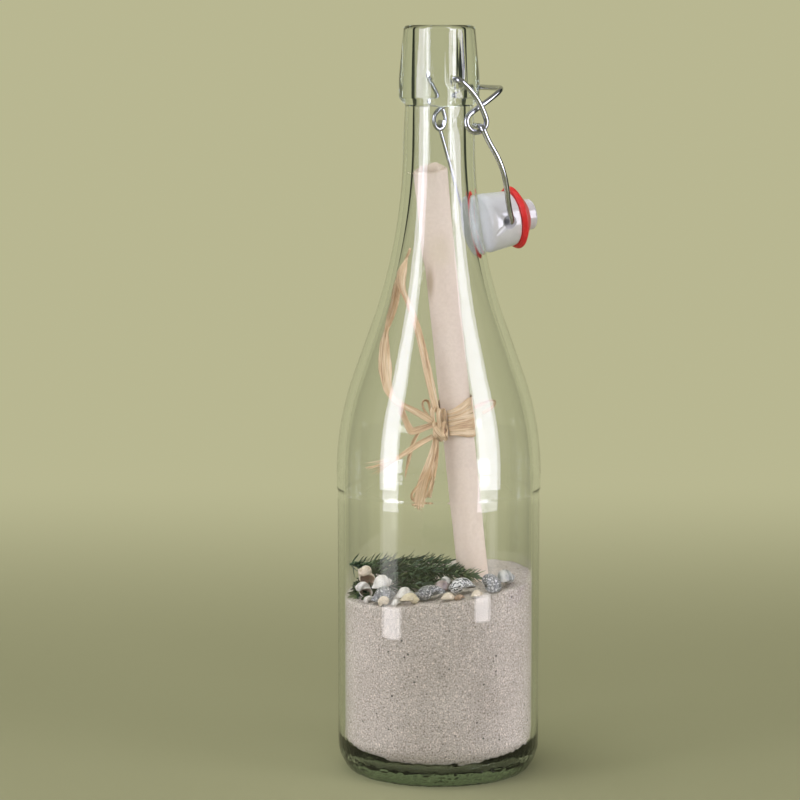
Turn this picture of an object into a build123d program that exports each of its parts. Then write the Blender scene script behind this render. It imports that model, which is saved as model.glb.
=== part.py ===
from build123d import *
import os
from math import asin, atan2, cos, degrees, hypot, pi, radians, sin, sqrt, tan

# A one litre swing-top bottle that holds a rolled letter tied with raffia, sand, sea-snail shells and a sprig.
# Millimetres and degrees, +Z up. The origin is the middle of the base, on the surface that the bottle stands on.

# Bottle, outside. Heights near the mouth are drops below the lip.
bottle_height = 325.0
body_radius = 44.1
band_rise = 0.4
band_step = 0.8
band_height = 7.0
shoulder_drop = 194.0
shoulder_bend = 130.0
shoulder_lean = 19.7
neck_radius = 15.5
neck_bottom_drop = 50.0
neck_top_radius = 14.7
neck_top_drop = 34.2
finish_radius = 17.4
finish_bottom_drop = 31.0
finish_taper_drop = 23.0
lip_radius = 15.3
lip_rounding = 2.3
finish_rounding = 1.3
taper_rounding = 6.0
heel_bend = 18.0
heel_turn = 40.0
foot_bend = 3.5
foot_flat = 1.6
foot_turn = 15.0

# Bottle, inside
bore_radius = 10.7
mouth_rounding = 1.0
wall = 3.0
inner_shoulder_bend = 127.0
inner_lean = 19.6
inner_corner = 10.5
floor_height = 6.2
bore_straight = 47.0

# Clearances and overruns
overrun = 1.0
running_gap = 0.08
seat_gap = 0.3
bed_gap = 0.15
fill_gap = 0.12
nearly_zero = 1e-6

# Swing-top closure. It lies turned to the right of the front, and its side lengths are measured from its middle plane.
closure_turn = 24.0
wire_diameter = 2.4
wire_bend = 2.5
pivot_drop = 22.8
dimple_depth = 2.1
dimple_dish_radius = 4.0
dimple_dish_depth = 0.9
arm_side = 19.8
arm_bow = 42.0
eye_reach = 9.0
eye_drop = 18.4
eye_radius = 4.2
eye_side = 17.0
thumb_reach = 25.0
thumb_drop = 4.2
thumb_leg_reach = 20.9
thumb_leg_drop = 6.3
thumb_leg_side = 14.0
thumb_leg_lean = 33.0
thumb_leg_splay_share = 0.3

# Bail, which hooks through the lever's eyes and the stopper's cross hole
bail_shoulder_side = 22.7
bail_waist_side = 22.9
bail_waist_out = 1.3
bail_foot_side = 15.3
bail_hook_side = 14.6
bail_waist_share = 0.45

# Stopper and gasket. Lengths along the stopper are from its cross hole.
stopper_drop = 86.2
stopper_dome_depth = 9.7
stopper_dome_bend = 46.0
stopper_dome_radius = 13.2
stopper_seat = 6.0
stopper_seat_radius = 12.0
stopper_edge = 2.6
stopper_seat_edge = 0.8
stopper_hub_radius = 6.75
stopper_hub_length = 10.4
stopper_hub_edge = 1.0
sink_radius = 3.9
sink_depth = 3.4
groove_radius = 1.8
groove_lean = 35.0
gasket_lip_radius = 14.0
gasket_back_radius = 12.8
gasket_lip = 1.8
gasket_lip_edge = 0.5
gasket_hub_radius = 7.8
gasket_length = 6.2

# Contents: the sand's bed and the rolled letter
sand_level_share = 0.63
sand_rise_share = 0.115
sand_back_rise_share = 0.05
scroll_radius = 6.9
scroll_buried = 28.0
scroll_top_drop = 61.5
scroll_top_share = 0.336
scroll_foot_share = 0.382
scroll_front_share = 0.0243
paper = 0.25
paper_pitch = 0.66
half_turns = 9

# Raffia tie
raffia_width = 2.2
cord_bend_share = 0.45
wrap_height_share = 0.4835
route_span = 100.0
wrap_pitch = 3.4
wrap_turns = 4
knot_drop = 4.2
knot_turn = -34.0
knot_length = 7.6
knot_radius = 2.5
knot_rounding = 1.4
knot_band_lean = 35.0

# Sprig
sprig_thickness_share = 0.2433
twig_diameter = 1.4
twig_foot_share = 0.5
twig_middle_share = 0.45

# Shells
shell_length_share = 0.2433

mouth_z = bottle_height
neck_bottom = bottle_height - neck_bottom_drop
neck_top = bottle_height - neck_top_drop
pivot_z = bottle_height - pivot_drop
shoulder_bottom = bottle_height - shoulder_drop
band_bottom = shoulder_bottom - band_height
band_radius = body_radius + band_rise
inner_radius = body_radius - wall
wire_radius = wire_diameter / 2
sand_level = shoulder_bottom * sand_level_share
sprig_thickness = inner_radius * sprig_thickness_share
shell_length = inner_radius * shell_length_share

# The letter's roll, from its foot beside the axis to its top against the inside of the neck
scroll_foot_x = inner_radius * scroll_foot_share
scroll_foot_y = -inner_radius * scroll_front_share
scroll_rise = bottle_height - scroll_top_drop - sand_level
scroll_shift = scroll_foot_x + bore_radius * scroll_top_share
scroll_lean = degrees(atan2(scroll_shift, scroll_rise))
scroll_length = hypot(scroll_shift, scroll_rise) + scroll_buried

os.makedirs("parts", exist_ok=True)


def save(shape, name):
    export_step(shape, f"parts/{name}.step")


# Curves


def flare_bend(body_r, body_z, body_bend, neck_r, neck_z, lean):
    # The radius of the neck's hollow curve that meets the shoulder's round one on a straight flank of that lean.
    run = (neck_r - body_r) * cos(radians(lean)) + (neck_z - body_z) * sin(radians(lean))
    return run / (1 - cos(radians(lean))) - body_bend


def shoulder_edges(body_r, body_z, body_bend, neck_r, neck_z, lean):
    bend = flare_bend(body_r, body_z, body_bend, neck_r, neck_z, lean)
    low = JernArc((body_r, body_z), (0, 1), body_bend, lean)
    high = JernArc((neck_r, neck_z), (0, -1), bend, lean)
    return [low, Line(low @ 1, high @ 1), high]


def bend_between(first, last, away):
    # The arc, or line, from first to last that bulges to the side that the direction away from first points to.
    chord = last - first
    half_way = (first + last) * 0.5
    along = chord.normalized()
    aside = away - along * away.dot(along)
    if aside.length < nearly_zero:
        return Line(first, last)
    bulge = chord.length / 2 * tan(radians(away.get_angle(chord)) / 2)
    return ThreePointArc(first, half_way + aside.normalized() * bulge, last)


def biarc(start, leave, end, arrive):
    # Two arcs, or lines where they would be straight, from start along leave to end along arrive.
    across = end - start
    both = leave + arrive
    spread = 2 * (1 - leave.dot(arrive))
    slope = across.dot(both)
    if across.cross(leave).length < nearly_zero and across.cross(arrive).length < nearly_zero:
        return [Line(start, end)]
    if spread < nearly_zero**2:
        reach = across.dot(across) / (2 * slope)
    else:
        reach = (sqrt(slope**2 + spread * across.dot(across)) - slope) / spread
    middle = (start + leave * reach + end - arrive * reach) * 0.5
    return [bend_between(start, middle, leave), bend_between(end, middle, arrive * -1)]


def smooth_wire(stations):
    # One unbroken wire through stations of (point, direction).
    edges = []
    for (start, leave), (end, arrive) in zip(stations, stations[1:]):
        edges += biarc(Vector(*start), Vector(*leave).normalized(), Vector(*end), Vector(*arrive).normalized())
    return Wire(edges)


def rod(path, radius):
    return sweep(Plane(origin=path @ 0, z_dir=path % 0) * Circle(radius), path=path)


def mirrored(stations):
    # Adds the far half of a bail-like wire, whose middle plane is y = 0. The last station is on it.
    far = [((x, -y, z), (-dx, dy, -dz)) for (x, y, z), (dx, dy, dz) in reversed(stations[:-1])]
    return stations + far


# Glass


def bottle_outline():
    foot_r = body_radius - heel_bend * (1 - cos(radians(heel_turn))) - foot_bend * cos(radians(heel_turn))
    inner_foot = CenterArc((foot_r - foot_flat, foot_bend), foot_bend, -90 - foot_turn, foot_turn)
    punt_bend = (inner_foot @ 0).X / sin(radians(foot_turn))
    punt_centre = (inner_foot @ 0).Y - punt_bend * cos(radians(foot_turn))
    punt = CenterArc((0, punt_centre), punt_bend, 90 - foot_turn, foot_turn)
    foot = CenterArc((foot_r, foot_bend), foot_bend, -90, 90 - heel_turn)
    heel = JernArc(foot @ 1, foot % 1, heel_bend, heel_turn)
    outside = [
        punt,
        inner_foot,
        Line(inner_foot @ 1, foot @ 0),
        foot,
        heel,
        Line(heel @ 1, (body_radius, band_bottom)),
        Line((body_radius, band_bottom), (band_radius, band_bottom + band_step)),
        Line((band_radius, band_bottom + band_step), (band_radius, shoulder_bottom)),
    ]
    outside += shoulder_edges(
        band_radius, shoulder_bottom, shoulder_bend, neck_radius, neck_bottom, shoulder_lean
    )
    finish = FilletPolyline(
        (neck_radius, neck_bottom),
        (neck_top_radius, neck_top),
        (finish_radius, bottle_height - finish_bottom_drop),
        (finish_radius, bottle_height - finish_taper_drop),
        (lip_radius, mouth_z),
        (bore_radius, mouth_z),
        (bore_radius, mouth_z - bore_straight),
        radius=[finish_rounding, finish_rounding, taper_rounding, lip_rounding, mouth_rounding],
    )
    corner = CenterArc((inner_radius - inner_corner, floor_height + inner_corner), inner_corner, -90, 90)
    inside = [
        Line((0, floor_height), corner @ 0),
        corner,
        Line(corner @ 1, (inner_radius, shoulder_bottom)),
    ]
    inside += shoulder_edges(
        inner_radius, shoulder_bottom, inner_shoulder_bend, bore_radius, mouth_z - bore_straight, inner_lean
    )
    middle = Line(punt @ 1, (0, floor_height))
    return make_face([*outside, *finish.edges(), *inside, middle])


def upright(face):
    return revolve(Plane.XZ * face, Axis.Z)


def closure_place():
    return Location((0, 0, pivot_z), (0, 0, closure_turn))


def dimple_cutter():
    # A pin hole with a dished mouth, along +Z from the hole's bottom.
    hole = wire_radius + running_gap
    dish_foot = dimple_depth - dimple_dish_depth
    slope = (dimple_dish_radius - hole) / dimple_dish_depth
    top = dimple_depth + overrun
    outline = Polyline(
        (0, 0), (hole, 0), (hole, dish_foot), (dimple_dish_radius + slope * overrun, top), (0, top), close=True
    )
    return upright(make_face(outline.edges()))


def bottle():
    glass = upright(bottle_outline())
    for side in (1, -1):
        outward = closure_place() * Rot(-90 * side, 0, 0)
        glass -= outward * Pos(0, 0, finish_radius - dimple_depth) * dimple_cutter()
    return glass


# Closure wires. In their own frame +X is the way the thumb loop points, and the pivot is the origin.


def eye_station(angle, first, last):
    # A point of the eye, which winds clockwise from the first angle to the last while it steps inward.
    turn = radians(angle)
    share = (first - angle) / (first - last)
    side = arm_side + (eye_side - arm_side) * share
    climb = (arm_side - eye_side) / (eye_radius * radians(first - last))
    at = (eye_reach + eye_radius * cos(turn), -side, -eye_drop + eye_radius * sin(turn))
    return at, (sin(turn), climb, -cos(turn))


def lever_stations():
    reach = hypot(eye_reach, eye_drop)
    eye_way = atan2(-eye_drop, eye_reach)
    open_cos = (arm_bow**2 + reach**2 - (arm_bow - eye_radius) ** 2) / (2 * arm_bow * reach)
    hub_way = eye_way - (pi / 2 - asin(open_cos))
    hub_x = arm_bow * cos(hub_way)
    hub_z = arm_bow * sin(hub_way)
    first = degrees(atan2(-eye_drop - hub_z, eye_reach - hub_x))
    last = thumb_leg_lean + 90 - 360
    leave = hub_way + pi / 2
    arm = (cos(leave), 0, sin(leave))
    stations = [
        ((0, -(finish_radius - dimple_depth + seat_gap), 0), (0, -1, 0)),
        ((0, -(arm_side - wire_bend), 0), (0, -1, 0)),
        ((wire_bend * cos(leave), -arm_side, wire_bend * sin(leave)), arm),
    ]
    steps = 4
    for step in range(steps + 1):
        stations.append(eye_station(first + (last - first) * step / steps, first, last))
    lean = radians(thumb_leg_lean)
    stations += [
        ((thumb_leg_reach, -thumb_leg_side, -thumb_leg_drop), (cos(lean), thumb_leg_splay_share, sin(lean))),
        ((thumb_reach, 0, -thumb_drop), (0, 1, 0)),
    ]
    return mirrored(stations)


def lever_wire():
    return rod(smooth_wire(lever_stations()), wire_radius)


def glass_seat():
    # Where the stopper rests: the neck's radius there, its height and how far its flank leans.
    bend = flare_bend(band_radius, shoulder_bottom, shoulder_bend, neck_radius, neck_bottom, shoulder_lean)
    height = bottle_height - stopper_drop
    lean = asin((neck_bottom - height) / bend)
    return neck_radius + bend * (1 - cos(lean)), height, lean


def stopper_hole():
    # The cross hole's place in the closure's frame.
    radius, height, lean = glass_seat()
    off = stopper_dome_depth + seat_gap
    return radius + off * cos(lean), height + off * sin(lean) - pivot_z


def bail_axis():
    # The bail hangs in the eyes, drawn against their rims towards the stopper.
    hole_x, hole_z = stopper_hole()
    way = atan2(hole_z + eye_drop, hole_x - eye_reach)
    slack = eye_radius - wire_diameter - bed_gap
    return eye_reach + slack * cos(way), -eye_drop + slack * sin(way)


def bail_stations():
    axis_x, axis_z = bail_axis()
    hole_x, hole_z = stopper_hole()
    length = hypot(hole_x - axis_x, hole_z - axis_z)
    way_x = (hole_x - axis_x) / length
    way_z = (hole_z - axis_z) / length
    print("bail, axis to cross hole", round(length, 2))

    def along(distance, side, out=0):
        return (axis_x + way_x * distance - way_z * out, -side, axis_z + way_z * distance + way_x * out)

    waist = length * bail_waist_share
    narrowing = (bail_waist_side - bail_foot_side) / (length - wire_bend - waist)
    return mirrored([
        (along(0, bail_hook_side), (0, -1, 0)),
        (along(0, bail_shoulder_side - wire_bend), (0, -1, 0)),
        (along(wire_bend, bail_shoulder_side), (way_x, 0, way_z)),
        (along(waist, bail_waist_side, bail_waist_out), (way_x, narrowing / 2, way_z)),
        (along(length - wire_bend, bail_foot_side), (way_x, narrowing, way_z)),
        (along(length, bail_foot_side - wire_bend), (0, 1, 0)),
        (along(length, 0), (0, 1, 0)),
    ])


def bail_wire():
    return rod(smooth_wire(bail_stations()), wire_radius)


# Stopper and gasket, drawn as half outlines of (radius, distance from the cross hole).


def turned(face):
    # Turns a half outline into a solid whose outward end points along +X.
    return Plane.YZ * revolve(Plane.XZ * face, Axis.Z)


def stopper_place():
    hole_x, hole_z = stopper_hole()
    return Pos(hole_x, 0, hole_z) * Rot(0, -degrees(glass_seat()[2]), 0)


def stopper():
    dome_drop = stopper_dome_bend - sqrt(stopper_dome_bend**2 - stopper_dome_radius**2)
    dome_edge = -stopper_dome_depth + dome_drop
    dome = CenterArc(
        (0, stopper_dome_bend - stopper_dome_depth), stopper_dome_bend,
        -90, degrees(asin(stopper_dome_radius / stopper_dome_bend)),
    )
    hub_top = stopper_seat + stopper_hub_length
    side = Polyline(
        (stopper_dome_radius, dome_edge),
        (stopper_seat_radius, stopper_seat),
        (stopper_hub_radius, stopper_seat),
        (stopper_hub_radius, hub_top),
        (0, hub_top),
        dome @ 0,
    )
    face = make_face([dome, *side.edges()])
    corners = {
        (stopper_dome_radius, dome_edge): stopper_edge,
        (stopper_seat_radius, stopper_seat): stopper_seat_edge,
        (stopper_hub_radius, hub_top): stopper_hub_edge,
    }
    for (x, y), rounding in corners.items():
        near = [v for v in face.vertices() if hypot(v.X - x, v.Y - y) < stopper_seat_edge / 10]
        face = fillet(near, rounding)
    body = turned(face)
    body -= Rot(90, 0, 0) * Cylinder(wire_radius + running_gap, 2 * (stopper_dome_radius + overrun))
    sink = Cone(
        wire_radius + running_gap, sink_radius, sink_depth, align=(Align.CENTER, Align.CENTER, Align.MIN)
    )
    groove = Cylinder(groove_radius, stopper_dome_depth, align=(Align.CENTER, Align.CENTER, Align.MIN))
    for side in (1, -1):
        body -= Rot(-90 * side, 0, 0) * Pos(0, 0, stopper_dome_radius - sink_depth) * sink
        lead = Pos(0, side * (stopper_dome_radius + groove_radius / 4), 0) * Rot(0, -90 - groove_lean, 0)
        body -= lead * groove
    return stopper_place() * body


def gasket():
    inside = stopper_hub_radius + running_gap
    front = stopper_seat + gasket_length
    outline = FilletPolyline(
        (inside, stopper_seat),
        (gasket_back_radius, stopper_seat),
        (gasket_lip_radius, stopper_seat + gasket_lip),
        (gasket_hub_radius, front),
        (inside, front),
        radius=gasket_lip_edge,
    )
    return stopper_place() * turned(make_face([*outline.edges(), Line((inside, front), (inside, stopper_seat))]))


# Contents


def sand_plane():
    return Plane(
        origin=(0, 0, sand_level),
        x_dir=(1, 0, sand_rise_share),
        z_dir=(-sand_rise_share, -sand_back_rise_share, 1),
    )


def scroll_place():
    # The roll's foot, down in the sand, with +Z along the roll.
    foot = Pos(scroll_foot_x, scroll_foot_y, sand_level)
    return foot * Rot(0, -scroll_lean, 0) * Pos(0, 0, -scroll_buried)


def sand():
    corner = inner_corner - fill_gap
    radius = inner_radius - fill_gap
    bottom = floor_height + fill_gap
    top = sand_level + radius
    turn = CenterArc((radius - corner, bottom + corner), corner, -90, 90)
    heap = upright(make_face([
        Line((0, bottom), turn @ 0),
        turn,
        Line(turn @ 1, (radius, top)),
        Line((radius, top), (0, top)),
        Line((0, top), (0, bottom)),
    ]))
    heap = split(heap, bisect_by=sand_plane(), keep=Keep.BOTTOM)
    hole = Cylinder(scroll_radius + fill_gap, scroll_length, align=(Align.CENTER, Align.CENTER, Align.MIN))
    return heap - scroll_place() * Pos(0, 0, -seat_gap) * hole


def message_scroll():
    # A sheet rolled up: half circles about two centres by turns, each half a pitch wider than the last.
    edges = []
    for side in (-1, 1):
        for turn in range(half_turns):
            radius = scroll_radius - paper / 2 - paper_pitch / 2 * (turn + 0.5) + side * paper / 2
            shift = paper_pitch / 4 * (-1 if turn % 2 else 1)
            edges.append(CenterArc((shift, 0), radius, 180 * (turn % 2), 180))
    count = half_turns
    outer, inner = edges[count:], edges[:count]
    ends = [Line(outer[0] @ 0, inner[0] @ 0), Line(outer[-1] @ 1, inner[-1] @ 1)]
    roll = extrude(make_face([*edges, *ends]), scroll_length)
    mean = sum(edge.length for edge in edges) / 2
    print("letter, laid flat", round(mean, 1), "by", scroll_length)
    return scroll_place() * roll


# Raffia


def wrap_place():
    # The middle of the wrap, on the roll's axis, with +Z along the roll.
    return scroll_place() * Pos(0, 0, scroll_length * wrap_height_share)


def knot_place():
    # The knot's middle, in front of the wrap and below its middle.
    off = wrap_radius() + raffia_width / 2 + seat_gap + knot_radius + raffia_width / 2
    return wrap_place() * Rot(0, 0, knot_turn) * Pos(0, -off, -knot_drop)


def wrap_radius():
    return scroll_radius + bed_gap + raffia_width / 2


def raffia_wrap():
    radius = wrap_radius()
    quarter = 4
    count = wrap_turns * quarter
    climb = wrap_pitch / (2 * pi * radius)
    stations = []
    for step in range(count + 1):
        turn = 2 * pi * step / quarter
        height = wrap_pitch * (step / quarter - wrap_turns / 2)
        at = (radius * sin(turn), -radius * cos(turn), height)
        stations.append((at, (cos(turn), sin(turn), climb)))
    print("raffia wrap, gap between its turns", round(wrap_pitch - raffia_width, 2))
    return wrap_place() * rod(smooth_wire(stations), raffia_width / 2)


def raffia_knot():
    # A barrel of folded strands with one strand drawn slantwise around it.
    barrel = Cylinder(knot_radius, knot_length)
    barrel = fillet(barrel.edges().filter_by(GeomType.CIRCLE), knot_rounding)
    band = Rot(0, knot_band_lean, 0) * Torus(knot_radius, raffia_width / 2)
    return knot_place() * (barrel + band)


def cord(shares, name):
    # A strand along straight runs joined by the widest arcs that they leave room for.
    knot = knot_place().position
    spots = [knot + Vector(*point) * route_span for point in shares]
    runs = [last - first for first, last in zip(spots, spots[1:])]
    radii = []
    for first, last in zip(runs, runs[1:]):
        half = radians(first.get_angle(last)) / 2
        radii.append(cord_bend_share * min(first.length, last.length) / tan(half))
    path = FilletPolyline(*spots, radius=radii)
    strand = rod(Wire(path.edges()), raffia_width / 2)
    share = strand.volume / (pi * (raffia_width / 2) ** 2 * path.length)
    print(name, "length", round(path.length, 1), "volume share", round(share, 3),
          "radii", [round(radius, 1) for radius in radii])
    return strand


# Routes of the strands, as shares of their span from the middle of the knot: to the right, back and up.
route_shares = {
    "raffia_loop_tall": [
        (-0.0112, 0.0019, 0.0521), (-0.0445, 0.0010, 0.1629), (-0.0724, 0.0068, 0.2789),
        (-0.0983, 0.0171, 0.4070), (-0.1234, 0.0269, 0.5370), (-0.1374, 0.0368, 0.6452),
        (-0.1403, 0.0458, 0.7330), (-0.1624, 0.0911, 0.7349), (-0.1912, 0.0911, 0.6270),
        (-0.2282, 0.0742, 0.4730), (-0.2455, 0.0389, 0.3332), (-0.2344, 0.0068, 0.2071),
        (-0.1785, -0.0109, 0.1171), (-0.1144, -0.0150, 0.0791), (-0.0334, -0.0059, 0.0300),
    ],
    "raffia_loop_low": [
        (-0.0334, 0.0212, 0.0030), (-0.0942, 0.0298, -0.0178), (-0.1485, 0.0331, 0.0050),
        (-0.1694, 0.0368, 0.0589), (-0.1403, 0.0430, 0.1151), (-0.0864, 0.0450, 0.1051),
        (-0.0264, 0.0241, 0.0449),
    ],
    "raffia_loop_right": [
        (0.1425, 0.0409, 0.0969), (0.1914, 0.0430, 0.1262), (0.2338, 0.0730, 0.1291),
        (0.2276, 0.1112, 0.0891), (0.1816, 0.1231, 0.0631),
    ],
    "raffia_tail_left": [
        (-0.0313, 0.0052, -0.0201), (-0.1012, -0.0051, -0.0630), (-0.1764, -0.0109, -0.1068),
        (-0.2566, -0.0051, -0.1410), (-0.3322, 0.0109, -0.1549),
    ],
    "raffia_tail_long": [
        (-0.0034, 0.0109, -0.0428), (-0.0202, 0.0031, -0.1029), (-0.0465, -0.0010, -0.1751),
        (-0.0782, -0.0072, -0.2469), (-0.1185, -0.0051, -0.3369),
    ],
    "raffia_tail_short": [
        (-0.1082, 0.0611, -0.0168), (-0.1255, 0.0549, -0.0669), (-0.1423, 0.0471, -0.1231),
        (-0.1633, 0.0450, -0.1848),
    ],
}


# Greenery. Each twig is a spindle about a straight stem, from its foot to its tip.


def spindle(foot, tip, thickness):
    span = Vector(*tip) - Vector(*foot)
    length = span.length
    foot_radius = thickness * twig_foot_share / 2
    outline = [
        Line((0, 0), (foot_radius, 0)),
        Spline((foot_radius, 0), (thickness / 2, length * twig_middle_share), (twig_diameter / 2, length)),
        Line((twig_diameter / 2, length), (0, length)),
        Line((0, length), (0, 0)),
    ]
    return Plane(origin=foot, z_dir=span) * upright(make_face(outline))


# Feet and tips as shares of the inner radius across and to the back, with heights above the sand
# and thicknesses as shares of the sprig's thickness.
sprig_shares = {
    "sprig_long": [
        ((-0.84, 0.10, 1.08), (0.39, -0.38, 0.60), 0.90),
        ((-0.50, -0.02, 0.48), (0.14, -0.22, 0.40), 0.80),
    ],
    "sprig_short": [
        ((-0.72, 0.30, 0.36), (-0.85, -0.34, 0.28), 0.58),
    ],
}


def sprig(twigs):
    solid = None
    for foot, tip, thick in twigs:
        ends = []
        for x, y, lift in (foot, tip):
            ends.append((x * inner_radius, y * inner_radius, lift * sprig_thickness))
        piece = spindle(*ends, thick * sprig_thickness)
        solid = piece if solid is None else solid + piece
    return sand_plane() * solid


# Shells. Each is four whorls in line: their radii as shares of the half width, and where they end on the
# spire as shares of its length.
whorl_shares = [(1, 0), (0.70, 0.5), (0.44, 0.8), (0.25, 1)]
mouth_radius_share = 0.40
mouth_place_shares = (0.35, 1.02)


def shell(length, width):
    half = width / 2
    body = None
    for radius, spire in whorl_shares:
        end = width + (length - width) * spire
        whorl = Pos(end - radius * half, 0, 0) * Rot(0, 90, 0) * Sphere(radius * half)
        body = whorl if body is None else body + whorl
    along, out = mouth_place_shares
    body -= Pos(along * width, -out * half, 0) * Sphere(mouth_radius_share * width)
    return Pos(-length / 2, 0, 0) * body


# Places as shares of the inner radius across and to the back, lifts, lengths and widths as shares of the
# shell length, then the turn about the upright, the tilt of the tip and the roll of the mouth, in degrees.
shell_shares = {
    "shell_cream_mouth": (-0.735, -0.22, 0.40, 0.88, 0.74, 140, 8, 60),
    "shell_whitish": (-0.585, -0.44, 0.42, 0.95, 0.72, 20, 5, 200),
    "shell_open_dark": (-0.775, -0.43, 0.10, 0.70, 0.56, 200, 0, 40),
    "shell_small_pale": (-0.725, -0.58, 0, 0.48, 0.36, 150, 0, 0),
    "shell_dark_speckled": (-0.575, -0.625, 0, 0.92, 0.62, 30, 0, 160),
    "shell_pale_disc": (-0.57, -0.755, 0, 0.46, 0.30, 220, 0, 90),
    "shell_white_large": (-0.36, -0.66, 0, 0.68, 0.50, 10, 0, 180),
    "shell_white_small": (-0.445, -0.85, 0, 0.40, 0.30, 190, 0, 180),
    "shell_yellow_cream": (-0.315, -0.845, 0, 0.66, 0.44, 340, 0, 200),
    "shell_long_grey": (-0.115, -0.79, 0, 1.20, 0.60, 8, 0, 190),
    "shell_mauve": (-0.03, -0.60, 0, 0.74, 0.46, 200, 0, 170),
    "shell_little_grey": (0.09, -0.47, 0, 0.52, 0.40, 60, 0, 150),
    "shell_cream_left": (0.07, -0.88, 0, 0.46, 0.32, 350, 0, 180),
    "shell_striped": (0.245, -0.70, 0, 1.08, 0.70, 350, 0, 170),
    "shell_brownish": (0.20, -0.895, 0, 0.40, 0.26, 180, 0, 180),
    "shell_cream_right": (0.375, -0.865, 0, 0.50, 0.30, 20, 0, 190),
    "shell_dark_dotted": (0.52, -0.68, 0, 0.98, 0.76, 120, 0, 100),
    "shell_grey_right": (0.70, -0.46, 0, 0.92, 0.62, 30, 0, 180),
}


def placed_shell(places):
    x, y, lift, length, width, turn, tilt, roll = places
    body = Rot(0, 0, turn) * Rot(0, -tilt, 0) * Rot(roll, 0, 0) * shell(length * shell_length, width * shell_length)
    height = bed_gap + lift * shell_length - body.bounding_box().min.Z
    return sand_plane() * Pos(x * inner_radius, y * inner_radius, height) * body


save(bottle(), "bottle")
save(closure_place() * lever_wire(), "lever_wire")
save(closure_place() * bail_wire(), "bail_wire")
save(closure_place() * stopper(), "stopper")
save(closure_place() * gasket(), "gasket")
save(sand(), "sand")
save(message_scroll(), "message_scroll")
save(raffia_wrap(), "raffia_wrap")
save(raffia_knot(), "raffia_knot")
for name, shares in route_shares.items():
    save(cord(shares, name), name)
for name, twigs in sprig_shares.items():
    save(sprig(twigs), name)
for name, places in shell_shares.items():
    save(placed_shell(places), name)
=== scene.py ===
import random
from math import acos, atan2, ceil, cos, exp, hypot, pi, radians, sin, tan

import bmesh
import bpy
from mathutils import Euler, Matrix, Quaternion, Vector, noise


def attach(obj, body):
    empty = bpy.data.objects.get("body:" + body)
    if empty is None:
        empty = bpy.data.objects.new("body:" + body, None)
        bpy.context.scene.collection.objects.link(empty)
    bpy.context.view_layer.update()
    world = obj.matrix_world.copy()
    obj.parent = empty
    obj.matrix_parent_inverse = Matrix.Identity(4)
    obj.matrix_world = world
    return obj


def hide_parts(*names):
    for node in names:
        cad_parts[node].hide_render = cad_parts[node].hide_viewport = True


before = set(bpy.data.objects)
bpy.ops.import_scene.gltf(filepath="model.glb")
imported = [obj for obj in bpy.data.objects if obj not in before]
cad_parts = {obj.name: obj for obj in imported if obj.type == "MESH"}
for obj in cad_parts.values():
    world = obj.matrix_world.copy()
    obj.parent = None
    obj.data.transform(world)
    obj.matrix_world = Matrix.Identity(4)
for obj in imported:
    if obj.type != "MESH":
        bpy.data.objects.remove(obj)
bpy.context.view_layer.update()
mm = 0.001
print("frame loaded")


def placed(name, data):
    thing = bpy.data.objects.new(name, data)
    bpy.context.collection.objects.link(thing)
    return thing


# Camera, at the height of the bottle's mouth and a little to the left
camera = {"place": (-16.85, -1300, 325), "pitch": 7.107, "lens": 135.4, "sensor": 36}

camData = bpy.data.cameras.new("camera")
camData.lens = camera["lens"]
camData.sensor_width = camera["sensor"]
cam = placed("camera", camData)
cam.location = Vector(camera["place"]) * mm
cam.rotation_euler = (radians(90 - camera["pitch"]), 0, 0)
bpy.context.scene.camera = cam


# Mesh helpers. Lengths come in millimetres and leave in metres.

def meshPiece(name, points, faces, material, replaces=(), smooth=True):
    mesh = bpy.data.meshes.new(name)
    mesh.from_pydata([Vector(p) * mm for p in points], [], faces)
    mesh.validate()
    piece = placed(name, mesh)
    bm = bmesh.new()
    bm.from_mesh(mesh)
    bmesh.ops.recalc_face_normals(bm, faces=bm.faces)
    bm.to_mesh(mesh)
    bm.free()
    for face in mesh.polygons:
        face.use_smooth = smooth
    mesh.materials.append(material)
    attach(piece, "bottle_body")
    if replaces:
        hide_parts(*replaces)
    return piece


def addMarks(piece, marks):
    # Where each point lies on its strand, needle or shell, for the material.
    grain = piece.data.attributes.new("grain", "FLOAT_VECTOR", "POINT")
    grain.data.foreach_set("vector", [v for mark in marks for v in mark])


def ringFaces(rows, cols, closed=True):
    # Quads between rows of equally many points, each row closed on itself if asked.
    faces = []
    across = cols if closed else cols - 1
    for row in range(rows - 1):
        for col in range(across):
            low, high = row * cols, (row + 1) * cols
            after = (col + 1) % cols
            faces.append((low + col, low + after, high + after, high + col))
    return faces


def sheetFaces(rows, cols, start=0):
    # Both sides and the four edges of a thin sheet, whose back's points follow its front's.
    half = rows * cols
    sheet = ringFaces(rows, cols, closed=False)
    faces = [tuple(start + i for i in face) for face in sheet]
    faces += [tuple(start + half + i for i in reversed(face)) for face in sheet]
    sides = [[row * cols + col for row in range(rows)] for col in (0, cols - 1)]
    ends = [[row * cols + col for col in range(cols)] for row in (0, rows - 1)]
    for edge in sides + ends:
        for a, b in zip(edge, edge[1:]):
            faces.append((start + a, start + b, start + half + b, start + half + a))
    return faces


def cappedFaces(rows, cols):
    # Rings of points between one point below and one above.
    faces = [tuple(i + 1 for i in face) for face in ringFaces(rows, cols)]
    top = rows * cols + 1
    for col in range(cols):
        after = (col + 1) % cols
        faces.append((0, 1 + after, 1 + col))
        faces.append((top, top - cols + col, top - cols + after))
    return faces


def arcPoints(centre, radius, start, end, step=3.0):
    count = max(2, ceil(abs(end - start) / step))
    spots = []
    for i in range(count + 1):
        angle = radians(start + (end - start) * i / count)
        spots.append((centre[0] + radius * cos(angle), centre[1] + radius * sin(angle)))
    return spots


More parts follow.
